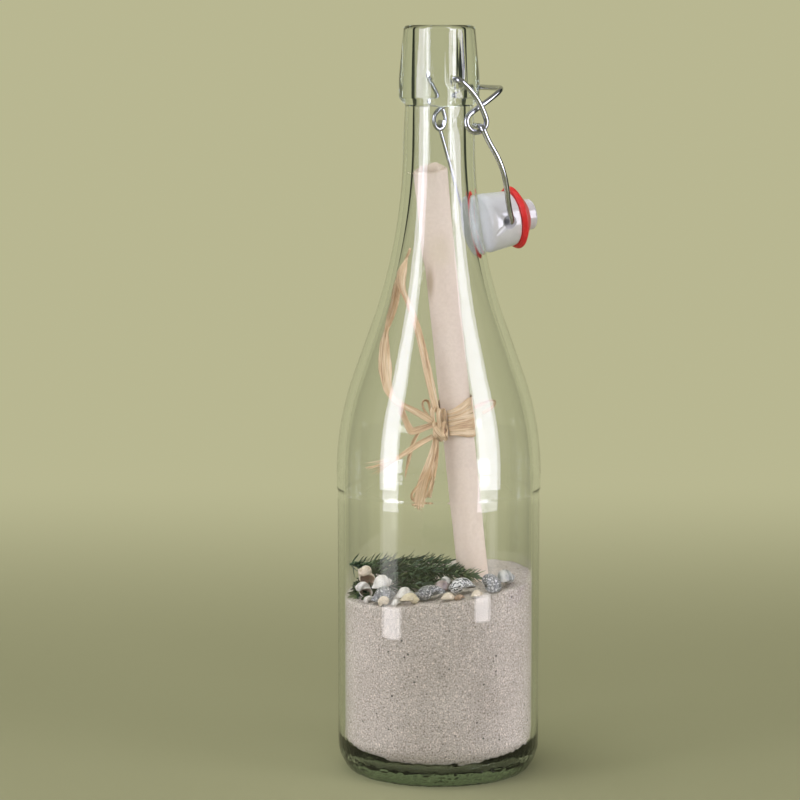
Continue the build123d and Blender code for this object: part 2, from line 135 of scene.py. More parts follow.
def roundedPoints(corners, radii, step=9.0):
    # A polyline with its inner corners rounded.
    spots = [corners[0]]
    for before, corner, after, radius in zip(corners, corners[1:], corners[2:], radii):
        a = (Vector(before) - Vector(corner)).normalized()
        b = (Vector(after) - Vector(corner)).normalized()
        half = acos(max(-1, min(1, a.dot(b)))) / 2
        centre = Vector(corner) + (a + b).normalized() * (radius / sin(half))
        first = Vector(corner) + a * (radius / tan(half)) - centre
        last = Vector(corner) + b * (radius / tan(half)) - centre
        turn = first.angle_signed(last)
        count = max(2, ceil(abs(turn) / radians(step)))
        for i in range(count + 1):
            spot = first.copy()
            spot.rotate(Matrix.Rotation(-turn * i / count, 2))
            spots.append(tuple(centre + spot))
    spots.append(corners[-1])
    return spots


def straightPoints(first, last, step):
    count = max(1, ceil(hypot(last[0] - first[0], last[1] - first[1]) / step))
    return [(first[0] + (last[0] - first[0]) * i / count, first[1] + (last[1] - first[1]) * i / count)
            for i in range(1, count)]


def keyed(keys, share):
    # The value at a share of the way, eased from key to key.
    for (first, low), (last, high) in zip(keys, keys[1:]):
        if share <= last:
            ease = max(0, min(1, (share - first) / max(last - first, 1e-9)))
            return low + (high - low) * ease * ease * (3 - 2 * ease)
    return keys[-1][1]


def shares(keys, size):
    # Keys whose values are shares of a size, as lengths.
    return [(place, size * part) for place, part in keys]


# Material helpers. A socket is given a number, a colour, a vector or another node's output.

def fill(tree, socket, value):
    if isinstance(value, bpy.types.NodeSocket):
        tree.links.new(value, socket)
    elif socket.type == "RGBA":
        socket.default_value = (*value, 1)
    else:
        socket.default_value = value


def addNode(tree, kind, inputs, **settings):
    node = tree.nodes.new("ShaderNode" + kind)
    for key, value in settings.items():
        setattr(node, key, value)
    for key, value in inputs.items():
        fill(tree, node.inputs[key], value)
    return node


def newMaterial(name, inputs):
    material = bpy.data.materials.new(name)
    material.use_nodes = True
    tree = material.node_tree
    shader = tree.nodes["Principled BSDF"]
    for key, value in inputs.items():
        fill(tree, shader.inputs[key], value)
    return material, tree, shader


def objectCoords(tree):
    return addNode(tree, "TexCoord", {}).outputs["Object"]


def grainMarks(tree):
    return addNode(tree, "Attribute", {}, attribute_name="grain").outputs["Vector"]


def split(tree, vector):
    return addNode(tree, "SeparateXYZ", {"Vector": vector}).outputs


def calculate(tree, operation, first, second=0):
    return addNode(tree, "Math", {0: first, 1: second}, operation=operation).outputs[0]


def noiseOn(tree, coords, scale, detail, rough, stretch):
    mapping = addNode(tree, "Mapping", {"Vector": coords, "Scale": stretch})
    inputs = {"Vector": mapping.outputs["Vector"], "Scale": scale, "Detail": detail, "Roughness": rough}
    return addNode(tree, "TexNoise", inputs).outputs["Fac"]


def objectNoise(tree, scale, detail=4.0, rough=0.55, stretch=(1, 1, 1)):
    return noiseOn(tree, objectCoords(tree), scale, detail, rough, stretch)


def easeBetween(tree, value, first, last, top=1.0):
    # Rises smoothly from 0 at the first value to the top at the last.
    inputs = {"Value": value, "From Min": first, "From Max": last, "To Max": top}
    return addNode(tree, "MapRange", inputs, interpolation_type="SMOOTHSTEP").outputs["Result"]


def colourRamp(tree, source, stops):
    ramp = addNode(tree, "ValToRGB", {"Fac": source})
    elements = ramp.color_ramp.elements
    while len(elements) < len(stops):
        elements.new(0.5)
    for element, (place, colour) in zip(elements, stops):
        element.position = place
        element.color = (*colour, 1)
    return ramp.outputs["Color"]


def mixColour(tree, factor, first, second, blend="MIX"):
    # The sockets 0, 6 and 7 are the factor and the two colours of the node's colour kind.
    inputs = {0: factor, 6: first, 7: second}
    return addNode(tree, "Mix", inputs, data_type="RGBA", blend_type=blend).outputs[2]


def mixShaders(tree, factor, first, second, output="Material Output"):
    mix = addNode(tree, "MixShader", {0: factor, 1: first, 2: second})
    fill(tree, tree.nodes[output].inputs["Surface"], mix.outputs[0])


def setColour(tree, shader, colour):
    fill(tree, shader.inputs["Base Color"], colour)


def addBump(tree, shader, height, strength, distance):
    bump = addNode(tree, "Bump", {"Height": height, "Strength": strength, "Distance": distance})
    fill(tree, shader.inputs["Normal"], bump.outputs["Normal"])


# Bottle: a lathe with the same outline as the CAD solid, finely divided so that it refracts cleanly.
bottle = {
    "height": 325, "body": 44.1, "band": 44.5, "bandBottom": 124, "bandStep": 0.8, "bandRounding": 0.8,
    "shoulder": 131, "shoulderBend": 130, "shoulderLean": 19.7, "neck": 15.5, "neckBottom": 275,
    "neckTop": 14.7, "neckTopZ": 290.8, "finish": 17.4, "finishBottom": 294, "taperZ": 302, "lip": 15.3,
    "bore": 10.7, "boreBottom": 278, "inner": 41.1, "innerBend": 127, "innerLean": 19.6,
    "innerCorner": 10.5, "floor": 6.2,
    "footBend": 3.5, "footFlat": 1.6, "footTurn": 15, "heelBend": 18, "heelTurn": 40,
    "roundings": (1.3, 1.3, 6, 2.3, 1), "pivotZ": 302.2, "closureTurn": 24,
    "holeRadius": 1.28, "holeDepth": 2.1, "dishRadius": 4, "dishDepth": 0.9,
    "rimRadius": 4.5, "rimWidth": 0.5, "rimHeight": 0.22, "rimReach": 2, "holeSideShare": 0.8,
    "stippleTop": 14, "stippleFade": 3, "stippleSize": 1.5, "stippleDepth": 0.34, "stippleLift": 0.35,
    "segments": 320, "fineStep": 0.9, "fineReach": 20, "fineFrom": 295, "fineTo": 309, "fineRise": 0.4,
    # the foot's tint is painted shade, the shadowed floor under the bottle seen through the base, and it
    # clears between these two heights
    "footShadeFrom": 4.5, "footShadeTo": 9.5, "tint": (0.29, 0.31, 0.27), "clear": (1.0, 1.0, 1.0),
    "absorb": (0.66, 0.78, 0.69), "density": 24, "shade": (0.93, 0.95, 0.93),
    "waves": (28, 2, 0.4, (1, 1, 0.35)), "waveBump": (0.10, 0.0006),
}


def flarePoints(bodyR, bodyZ, bodyBend, neckR, neckZ, lean, step=1.2):
    turn = radians(lean)
    run = (neckR - bodyR) * cos(turn) + (neckZ - bodyZ) * sin(turn)
    bend = run / (1 - cos(turn)) - bodyBend
    low = arcPoints((bodyR - bodyBend, bodyZ), bodyBend, 0, lean, step)
    high = arcPoints((neckR + bend, neckZ), bend, 180 + lean, 180, step)
    return low + straightPoints(low[-1], high[0], 3) + high


def outerOutline():
    b = bottle
    heelTurn, footTurn = radians(b["heelTurn"]), radians(b["footTurn"])
    foot = b["body"] - b["heelBend"] * (1 - cos(heelTurn)) - b["footBend"] * cos(heelTurn)
    innerFoot = arcPoints((foot - b["footFlat"], b["footBend"]), b["footBend"], -90 - b["footTurn"], -90, 3)
    puntBend = innerFoot[0][0] / sin(footTurn)
    puntCentre = innerFoot[0][1] - puntBend * cos(footTurn)
    punt = arcPoints((0, puntCentre), puntBend, 90, 90 - b["footTurn"], 0.75)
    outer = arcPoints((foot, b["footBend"]), b["footBend"], -90, -b["heelTurn"], 4)
    heel = arcPoints((b["body"] - b["heelBend"], outer[-1][1] + b["heelBend"] * sin(heelTurn)),
                     b["heelBend"], -b["heelTurn"], 0, 2)
    band = roundedPoints(
        [heel[-1], (b["body"], b["bandBottom"]), (b["band"], b["bandBottom"] + b["bandStep"]),
         (b["band"], b["shoulder"])], (b["bandRounding"], b["bandRounding"]), 12)
    body = straightPoints(heel[-1], band[1], 5)
    flare = flarePoints(b["band"], b["shoulder"], b["shoulderBend"],
                        b["neck"], b["neckBottom"], b["shoulderLean"])
    finish = roundedPoints(
        [(b["neck"], b["neckBottom"]), (b["neckTop"], b["neckTopZ"]), (b["finish"], b["finishBottom"]),
         (b["finish"], b["taperZ"]), (b["lip"], b["height"]), (b["bore"], b["height"]),
         (b["bore"], b["boreBottom"])], b["roundings"])
    return punt + innerFoot[1:] + outer + heel[1:] + body + band[1:] + flare[1:] + finish[1:-1]


def innerOutline():
    b = bottle
    bend = b["innerCorner"]
    corner = arcPoints((b["inner"] - bend, b["floor"] + bend), bend, -90, 0, 6)
    base = [(0, b["floor"])] + straightPoints((0, b["floor"]), corner[0], 3)
    wall = straightPoints(corner[-1], (b["inner"], b["shoulder"]), 6)
    flare = flarePoints(b["inner"], b["shoulder"], b["innerBend"], b["bore"], b["boreBottom"], b["innerLean"])
    return base + corner + wall + flare


def fineOutline(points, low, high, step):
    # Adds points where the outline runs between two heights, for the pin holes.
    out = []
    for first, last in zip(points, points[1:]):
        out.append(first)
        if first[0] > bottle["neck"] and low < (first[1] + last[1]) / 2 < high:
            out += straightPoints(first, last, step)
    out.append(points[-1])
    return out


def stippled(x, y, z):
    # Small dents in the glass round its foot.
    b = bottle
    dent = b["stippleDepth"] * max(0, noise.noise(Vector((x, y, z)) / b["stippleSize"]) + b["stippleLift"])
    dent *= min(1, (b["stippleTop"] - z) / b["stippleFade"])
    radius = max(1e-6, hypot(x, y))
    near = min(1, max(0, z / b["footBend"]))
    return x * (1 - dent * near / radius), y * (1 - dent * near / radius), z + dent * (1 - near)


def dimpled(x, y, z):
    # Stipples the foot, and presses the two dished pin holes into the finish, each with a low raised rim.
    b = bottle
    reach = b["rimRadius"] + b["rimReach"]
    if z < b["stippleTop"] and (z < b["floor"] - 0.1 or hypot(x, y) > b["inner"] + 0.05):
        return stippled(x, y, z)
    if abs(z - b["pivotZ"]) > reach or hypot(x, y) < b["neck"]:
        return x, y, z
    turn = radians(b["closureTurn"])
    along, aside = x * cos(turn) + y * sin(turn), -x * sin(turn) + y * cos(turn)
    off = hypot(along, z - b["pivotZ"])
    side = abs(aside)
    swell = b["rimHeight"] * exp(-((off - b["rimRadius"]) / b["rimWidth"]) ** 2)
    if off < b["holeRadius"]:
        limit = b["finish"] - b["holeDepth"]
    else:
        slope = (off - b["holeRadius"]) / (b["dishRadius"] - b["holeRadius"])
        limit = b["finish"] - b["dishDepth"] * (1 - slope)
    if off < reach and side > b["lip"] * b["holeSideShare"]:
        side = min(side, limit) + swell
        aside = side if aside > 0 else -side
    return along * cos(turn) - aside * sin(turn), along * sin(turn) + aside * cos(turn), z


def bottleAngles():
    b = bottle
    angles = set(round(360 * i / b["segments"], 3) for i in range(b["segments"]))
    for pole in (b["closureTurn"] + 90, b["closureTurn"] + 270):
        count = int(b["fineReach"] / b["fineStep"])
        angles -= set(a for a in angles if abs((a - pole + 180) % 360 - 180) < b["fineReach"] + 0.5)
        angles |= set(round((pole + b["fineStep"] * i) % 360, 3) for i in range(-count, count + 1))
    return sorted(angles)


def latheShell(outline, angles, bend):
    # Closed surface of revolution whose outline starts and ends on the axis.
    points = [(0, 0, outline[0][1])]
    for radius, height in outline[1:-1]:
        for angle in angles:
            points.append(bend(radius * cos(radians(angle)), radius * sin(radians(angle)), height))
    points.append((0, 0, outline[-1][1]))
    return points, cappedFaces(len(outline) - 2, len(angles))


def glassMaterial():
    # Clear, a little wavy, green in its thickness and darker at the foot, where painted shade stands for the
    # shadowed floor under the bottle seen through the base. It casts almost no shadow.
    b = bottle
    inputs = {"Roughness": 0.0, "IOR": 1.5, "Transmission Weight": 1.0}
    material, tree, shader = newMaterial("clearGlass", inputs)
    # painted shade: the glass's colour darkens towards the foot
    rise = easeBetween(tree, split(tree, objectCoords(tree))["Z"], b["footShadeFrom"] * mm, b["footShadeTo"] * mm)
    setColour(tree, shader, mixColour(tree, rise, b["tint"], b["clear"]))
    addBump(tree, shader, objectNoise(tree, *b["waves"]), *b["waveBump"])
    through = addNode(tree, "BsdfTransparent", {"Color": b["shade"]})
    path = addNode(tree, "LightPath", {})
    mixShaders(tree, path.outputs["Is Shadow Ray"], shader.outputs["BSDF"], through.outputs["BSDF"])
    volume = addNode(tree, "VolumeAbsorption", {"Color": b["absorb"], "Density": b["density"]})
    fill(tree, tree.nodes["Material Output"].inputs["Volume"], volume.outputs["Volume"])
    return material


outer = fineOutline(outerOutline(), bottle["fineFrom"], bottle["fineTo"], bottle["fineRise"])
points, faces = latheShell(outer + innerOutline()[::-1], bottleAngles(), dimpled)
meshPiece("bottleGlass", points, faces, glassMaterial(), ["bottle"])
print("bottle", len(points), "points")


# Sand: the bed's side and bottom follow the glass, and its top is uneven.
sand = {
    "level": 82.53, "riseRight": 0.115, "riseBack": 0.05, "radius": 40.97, "bottom": 6.33, "corner": 10.37,
    "rough": 0.55, "roughSize": 7.0, "grit": 0.22, "gritSize": 1.3, "segments": 220, "rings": 70, "steps": 30,
    "cloud": (45, 3, 0.5), "tones": [(0.3, (0.468, 0.402, 0.344)), (0.7, (0.541, 0.473, 0.411))],
    "grain": (1500, 3, 0.75), "grainShare": 0.9, "grainBump": (0.6, 0.0004),
    "grainTones": [(0.34, (0.22, 0.18, 0.16)), (0.45, (0.95, 0.95, 0.95)), (0.55, (1, 1, 1)),
                   (0.66, (1.9, 1.9, 1.9))],
    "speckScale": 760, "speckRare": 0.983, "speckReach": 0.38, "speckTone": (0.10, 0.085, 0.08),
}


def sandTop(x, y):
    s = sand
    coarse = noise.noise(Vector((x, y, 3)) / s["roughSize"])
    fine = noise.noise(Vector((x, y, 9)) / s["gritSize"])
    return s["level"] + s["riseRight"] * x + s["riseBack"] * y + s["rough"] * coarse + s["grit"] * fine


def sandMesh():
    s = sand
    turns = [2 * pi * i / s["segments"] for i in range(s["segments"])]
    corner = arcPoints((s["radius"] - s["corner"], s["bottom"] + s["corner"]), s["corner"], -90, 0, 6)
    side = [(r, z) for r, z in corner if r > 0.1]
    low = side[-1][1]
    points = [(0, 0, s["bottom"])]
    for radius, height in side:
        points += [(radius * cos(turn), radius * sin(turn), height) for turn in turns]
    for step in range(1, s["steps"] + 1):
        for turn in turns:
            x, y = s["radius"] * cos(turn), s["radius"] * sin(turn)
            points.append((x, y, low + (sandTop(x, y) - low) * step / s["steps"]))
    for ring in range(1, s["rings"]):
        radius = s["radius"] * (1 - ring / s["rings"])
        for turn in turns:
            x, y = radius * cos(turn), radius * sin(turn)
            points.append((x, y, sandTop(x, y)))
    points.append((0, 0, sandTop(0, 0)))
    return points, cappedFaces(len(side) + s["steps"] + s["rings"] - 1, len(turns))


def sandMaterial():
    s = sand
    material, tree, shader = newMaterial("paleSand", {"Roughness": 0.85, "Specular IOR Level": 0.25})
    base = colourRamp(tree, objectNoise(tree, *s["cloud"]), s["tones"])
    grain = objectNoise(tree, *s["grain"])
    both = mixColour(tree, s["grainShare"], base, colourRamp(tree, grain, s["grainTones"]), "MULTIPLY")
    # dark specks, which are the middles of a few cells
    cells = addNode(tree, "TexVoronoi", {"Vector": objectCoords(tree), "Scale": s["speckScale"]})
    pick = addNode(tree, "SeparateColor", {"Color": cells.outputs["Color"]})
    rare = calculate(tree, "GREATER_THAN", pick.outputs[0], s["speckRare"])
    near = calculate(tree, "LESS_THAN", cells.outputs["Distance"], s["speckReach"])
    setColour(tree, shader, mixColour(tree, calculate(tree, "MULTIPLY", rare, near), both, s["speckTone"]))
    addBump(tree, shader, grain, *s["grainBump"])
    return material


points, faces = sandMesh()
meshPiece("sandBed", points, faces, sandMaterial(), ["sand"])
print("sand", len(points), "points")


# Rolled letter: one sheet wound in a spiral, flared a little at its top.
scroll = {
    "radius": 6.9, "length": 210, "buried": 28, "footX": 15.7, "footY": -1.0, "lean": 6.086, "pitch": 0.66,
    "turns": 4.5, "paper": 0.26, "start": 172, "perTurn": 64, "rows": 105,
    "flare": 0.95, "flareLength": 34, "flareInside": 0.6, "flareOval": 0.3,
    "wobble": 0.10, "wobbleRound": 2, "wobbleHeight": 30,
    "flap": 1.15, "flapTop": -1.0, "flapBottom": 167, "flapStep": 6, "flapTurn": 75,
    "slant": 1.7, "ragged": 1.3, "raggedSize": 2.4, "raggedAlong": 5,
    "cloud": (38, 5, 0.6, (1, 1, 0.5)),
    "tones": [(0.25, (0.65, 0.53, 0.415)), (0.5, (0.73, 0.605, 0.495)), (0.75, (0.77, 0.655, 0.545))],
    "fibre": (900, 3, 0.6), "fibreTones": [(0.35, (0.93, 0.92, 0.90)), (0.65, (1.0, 1.0, 1.0))],
    "fibreBump": (0.18, 0.0003),
    # painted shadows on the paper, one below the top flap's edge at the left and a broad soft one on the
    # front near the top: where each is, how far it reaches, its tint and its strength
    "paintedShadows": [((-3.9, -4.5, 214.5), (3.0, 9.0, 10.5), (0.36, 0.26, 0.15), 0.75),
               ((0.5, -8.0, 228.0), (9.0, 9.0, 10.0), (0.62, 0.52, 0.34), 0.35)],
}
scrollFoot = Vector((scroll["footX"], scroll["footY"], sand["level"]))
scrollTurn = Euler((0, -radians(scroll["lean"]), 0)).to_matrix()


def alongScroll(x, y, height):
    return scrollFoot + scrollTurn @ Vector((x, y, height - scroll["buried"]))


def scrollMesh():
    s = scroll
    count = int(s["turns"] * s["perTurn"])
    points = []
    for side in (0, 1):
        for row in range(s["rows"] + 1):
            height = s["length"] * row / s["rows"]
            near = max(0, 1 - (s["length"] - height) / s["flareLength"])
            opened = keyed([(s["flapBottom"], 0), (s["flapBottom"] + s["flapStep"], 1)], height)
            rise = (height - s["flapBottom"]) / (s["length"] - s["flapBottom"])
            for i in range(count + 1):
                share = i / count
                angle = radians(s["start"]) + 2 * pi * s["turns"] * share
                around, aside = cos(angle) * s["wobbleRound"], sin(angle) * s["wobbleRound"]
                place = Vector((around, aside, height / s["wobbleHeight"]))
                wobble = s["wobble"] * noise.noise(place)
                radius = s["radius"] - s["pitch"] * s["turns"] * share + wobble * (1 - share)
                spread = s["flare"] * near ** 2 * (1 - s["flareInside"] * share)
                oval = 1 - s["flareOval"] + s["flareOval"] * sin(angle * 2)
                radius += spread * oval - s["paper"] * side
                loose = max(0, 1 - 360 * s["turns"] * share / s["flapTurn"]) ** 2
                radius += loose * opened * (s["flap"] + s["flapTop"] * rise)
                lift = 0
                if row == s["rows"]:
                    place = Vector((cos(angle), sin(angle), share * s["raggedAlong"])) * s["raggedSize"]
                    lift = s["slant"] * sin(angle) + s["ragged"] * noise.noise(place)
                points.append(alongScroll(radius * cos(angle), radius * sin(angle), height + lift))
    return points, sheetFaces(s["rows"] + 1, count + 1)


def paperMaterial():
    s = scroll
    material, tree, shader = newMaterial("creamPaper", {"Roughness": 0.72, "Specular IOR Level": 0.3})
    base = colourRamp(tree, objectNoise(tree, *s["cloud"]), s["tones"])
    fibre = objectNoise(tree, *s["fibre"])
    colour = mixColour(tree, 1.0, base, colourRamp(tree, fibre, s["fibreTones"]), "MULTIPLY")
    coords = objectCoords(tree)
    # each mark is painted shadow, eased out from its middle to its reach
    for centre, reach, tint, strength in s["paintedShadows"]:
        away = addNode(tree, "Mapping", {
            "Vector": coords, "Scale": [1 / (r * mm) for r in reach],
            "Location": [-c / r for c, r in zip(centre, reach)]})
        off = addNode(tree, "VectorMath", {0: away.outputs["Vector"]}, operation="LENGTH")
        colour = mixColour(tree, easeBetween(tree, off.outputs["Value"], 1.0, 0.2, strength), colour, tint)
    setColour(tree, shader, colour)
    addBump(tree, shader, fibre, *s["fibreBump"])
    return material


points, faces = scrollMesh()
meshPiece("rolledLetter", points, faces, paperMaterial(), ["message_scroll"])
print("letter", len(points), "points")


# Closure: the CAD's wires, stopper and gasket, with finer materials
closure = {
    "brightWire": {
        "nodes": ["lever_wire", "bail_wire"], "inputs": {"Metallic": 1.0}, "roughness": (0.12, 0.24),
        "cloud": (260, 3, 0.5), "tones": [(0.3, (0.42, 0.43, 0.46)), (0.7, (0.56, 0.57, 0.60))],
        "grain": (1400, 2, 0.5), "bump": (0.06, 0.0001)},
    "whiteGlaze": {
        "nodes": ["stopper"], "inputs": {"Roughness": 0.16, "Coat Weight": 0.4, "Coat Roughness": 0.08},
        "cloud": (120, 4, 0.6), "tones": [(0.3, (0.70, 0.70, 0.75)), (0.7, (0.80, 0.80, 0.85))],
        "grain": (420, 2, 0.5), "bump": (0.05, 0.0002)},
    "redRubber": {
        "nodes": ["gasket"], "inputs": {"Roughness": 0.42},
        "cloud": (240, 4, 0.6), "tones": [(0.3, (0.74, 0.018, 0.02)), (0.7, (0.88, 0.035, 0.032))],
        "grain": (900, 3, 0.6), "bump": (0.12, 0.0002)},
}
for name, look in closure.items():
    material, tree, shader = newMaterial(name, look["inputs"])
    cloud = objectNoise(tree, *look["cloud"])
    setColour(tree, shader, colourRamp(tree, cloud, look["tones"]))
    if "roughness" in look:
        low, high = look["roughness"]
        rough = addNode(tree, "MapRange", {"Value": cloud, "To Min": low, "To Max": high})
        fill(tree, shader.inputs["Roughness"], rough.outputs["Result"])
    addBump(tree, shader, objectNoise(tree, *look["grain"]), *look["bump"])
    for node in look["nodes"]:
        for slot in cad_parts[node].material_slots:
            slot.link = "OBJECT"
            slot.material = material
print("closure dressed")


# Raffia: flat strands along smooth lines shaped by their routes' points, given from the knot's middle
raffia = {
    "columns": 9, "step": 0.6, "foldStep": 0.35, "besideStep": 0.45, "frayStep": 0.5, "thick": 0.16,
    "thinEdge": 0.5, "pleat": 0.10, "pleatAcross": 1.5, "pleatAlong": 0.06,
    "ragged": 0.09, "raggedAlong": 0.9, "cupPull": 0.25, "cupMiddle": 0.35, "markShift": 3.7,
    "cordDiameter": 2.2,
    "wrapHeight": 101.5, "knotOut": 13.3, "knotDrop": 4.2, "knotTurn": -34,
    "frayBack": (0.5, 2.5), "frayOut": 0.4, "frayReach": (0.5, 1), "frayWidth": (0.5, 1.3),
    "frayTurns": (30, 60), "frayStart": 0.35, "frayMiddle": (0.4, 0.25, 0.2), "frayEnd": 0.75,
    "frayWidths": [(0, 1), (0.7, 0.8), (1, 0.3)],
    "besideTurn": 20, "besideSwing": 30, "besideWidths": [(0, 0.7), (0.6, 1), (1, 1)],
    "besideCups": [(0, 0.6), (1, 0.8)],
    "broad": (1, 3, 0.6, (1.3, 0.05, 1.7)), "fine": (1, 4, 0.6, (6.5, 0.12, 1.7)),
    "tones": [(0.28, (0.42, 0.23, 0.12)), (0.40, (0.64, 0.44, 0.25)), (0.54, (0.76, 0.58, 0.36)),
              (0.70, (0.84, 0.70, 0.50))],
    "lines": [(0.34, (0.42, 0.31, 0.22)), (0.47, (0.93, 0.91, 0.89)), (0.62, (1, 1, 1))], "lineShare": 0.85,
    "bump": (0.55, 0.0002),
}


def knotSpot(x, y, z):
    # From the knot's own axes, right, inward and up, to the row frame.
    turn = radians(raffia["knotTurn"])
    inward = y - raffia["knotOut"]
    return alongScroll(x * cos(turn) - inward * sin(turn), x * sin(turn) + inward * cos(turn),
                       raffia["wrapHeight"] - raffia["knotDrop"] + z)


knotMiddle = knotSpot(0, 0, 0)


def smoothLine(name, spots):
    # The points that a NURBS spline with these control points gives, in millimetres.
    data = bpy.data.curves.new(name + "Line", "CURVE")
    data.dimensions = "3D"
    data.resolution_u = 16
    spline = data.splines.new("NURBS")
    spline.points.add(len(spots) - 1)
    for point, spot in zip(spline.points, spots):
        point.co = (*(Vector(spot) * mm), 1)
    spline.order_u = 3
    spline.use_endpoint_u = True
    holder = placed(name + "Line", data)
    mesh = bpy.data.meshes.new_from_object(holder)
    line = [v.co / mm for v in mesh.vertices]
    bpy.data.objects.remove(holder)
    bpy.data.curves.remove(data)
    bpy.data.meshes.remove(mesh)
    return line


def evenLine(line, step):
    # The same line with its points evenly apart.
    lengths = [0]
    for first, last in zip(line, line[1:]):
        lengths.append(lengths[-1] + (last - first).length)
    count = max(4, round(lengths[-1] / step))
    spots, j = [], 0
    for i in range(count + 1):
        at = lengths[-1] * i / count
        while j < len(line) - 2 and lengths[j + 1] < at:
            j += 1
        spots.append(line[j].lerp(line[j + 1], (at - lengths[j]) / max(lengths[j + 1] - lengths[j], 1e-9)))
    return spots


def lineTangents(line):
    last = len(line) - 1
    return [(line[min(i + 1, last)] - line[max(i - 1, 0)]).normalized() for i in range(last + 1)]


def squared(facings, line):
    # The same facings, made square to the line.
    return [(face - t * face.dot(t)).normalized() for face, t in zip(facings, lineTangents(line))]


def bandFacings(line, turns, front=(0, -1, 0)):
    # The way the band's face looks at each point: to the front, turned about the line by the keyed degrees.
    tangents = lineTangents(line)
    last = len(line) - 1
    front = Vector(front)
    carried = []
    face = front
    for i, tangent in enumerate(tangents):
        if i:
            face = tangents[i - 1].rotation_difference(tangent) @ face
        face = (face - tangent * face.dot(tangent)).normalized()
        carried.append(face)
    wanted, before = [], 0
    for share, turn in turns:
        i = round(share * last)
        flat = front - tangents[i] * front.dot(tangents[i])
        angle = atan2(tangents[i].dot(carried[i].cross(flat)), carried[i].dot(flat)) + radians(turn)
        angle += 2 * pi * round((before - angle) / (2 * pi))
        wanted.append((share, angle))
        before = angle
    return [Quaternion(tangent, keyed(wanted, i / last)) @ face
            for i, (tangent, face) in enumerate(zip(tangents, carried))]


def addBand(made, line, facings, widths, cups=((0, 0.1), (1, 0.1)), seed=0.0, columns=None, pleat=None):
    # Adds one thin band to the lists of points, faces and grain marks.
    points, faces, marks = made
    r = raffia
    columns = columns or r["columns"]
    pleat = r["pleat"] if pleat is None else pleat
    tangents = lineTangents(line)
    last = len(line) - 1
    start = len(points)
    for layer in (1, -1):
        along = 0
        for i, spot in enumerate(line):
            share = i / last
            if i:
                along += (spot - line[i - 1]).length
            half = keyed(widths, share) / 2
            cup = keyed(cups, share)
            side = facings[i].cross(tangents[i])
            for col in range(columns):
                u = 2 * col / (columns - 1) - 1
                place = Vector((seed, u * 3, along * r["raggedAlong"]))
                ragged = r["ragged"] * noise.noise(place) * abs(u) ** 3
                spread = u * half * (1 - r["cupPull"] * min(1, abs(cup))) * (1 + ragged)
                place = Vector((u * half * r["pleatAcross"] + seed * 7, along * r["pleatAlong"], seed))
                lift = cup * half * (u * u - r["cupMiddle"]) + pleat * noise.noise(place)
                lift += layer * r["thick"] / 2 * (1 - r["thinEdge"] * u ** 4)
                points.append(spot + side * spread + facings[i] * lift)
                marks.append((u * half + seed * r["markShift"], along, seed))
    faces += sheetFaces(last + 1, columns, start)


def addFrays(made, line, facings, count, length, spread, width, seed):
    # Loose threads that part from a band's end.
    r = raffia
    rng = random.Random(seed)
    ahead, facing = lineTangents(line)[-1], facings[-1]
    for k in range(count):
        back = rng.uniform(*r["frayBack"])
        side = facing.cross(ahead) * rng.uniform(-spread, spread)
        out = facing * rng.uniform(-r["frayOut"], r["frayOut"]) * spread
        reach = length * rng.uniform(*r["frayReach"])
        start = line[-1] - ahead * back + side * r["frayStart"]
        along, aside, outward = r["frayMiddle"]
        spots = [start, start + ahead * (back + reach * along) + side * aside + out * outward,
                 start + ahead * (back + reach) + side * r["frayEnd"] + out]
        thread = evenLine(smoothLine("fray", spots), r["frayStep"])
        wide = width * rng.uniform(*r["frayWidth"])
        turns = [(share, rng.uniform(-turn, turn)) for share, turn in zip((0, 1), r["frayTurns"])]
        addBand(made, thread, bandFacings(thread, turns), shares(r["frayWidths"], wide),
                seed=seed + k * 0.37, columns=3, pleat=0)


def raffiaMaterial():
    r = raffia
    material, tree, shader = newMaterial("driedRaffia", {"Roughness": 0.55, "Specular IOR Level": 0.35})
    marks = grainMarks(tree)
    fine = noiseOn(tree, marks, *r["fine"])
    base = colourRamp(tree, noiseOn(tree, marks, *r["broad"]), r["tones"])
    lines = colourRamp(tree, fine, r["lines"])
    setColour(tree, shader, mixColour(tree, r["lineShare"], base, lines, "MULTIPLY"))
    addBump(tree, shader, fine, *r["bump"])
    return material


raffiaSkin = raffiaMaterial()


def raffiaPiece(name, made, *nodes):
    points, faces, marks = made
    piece = meshPiece(name, points, faces, raffiaSkin, nodes)
    addMarks(piece, marks)
    return piece
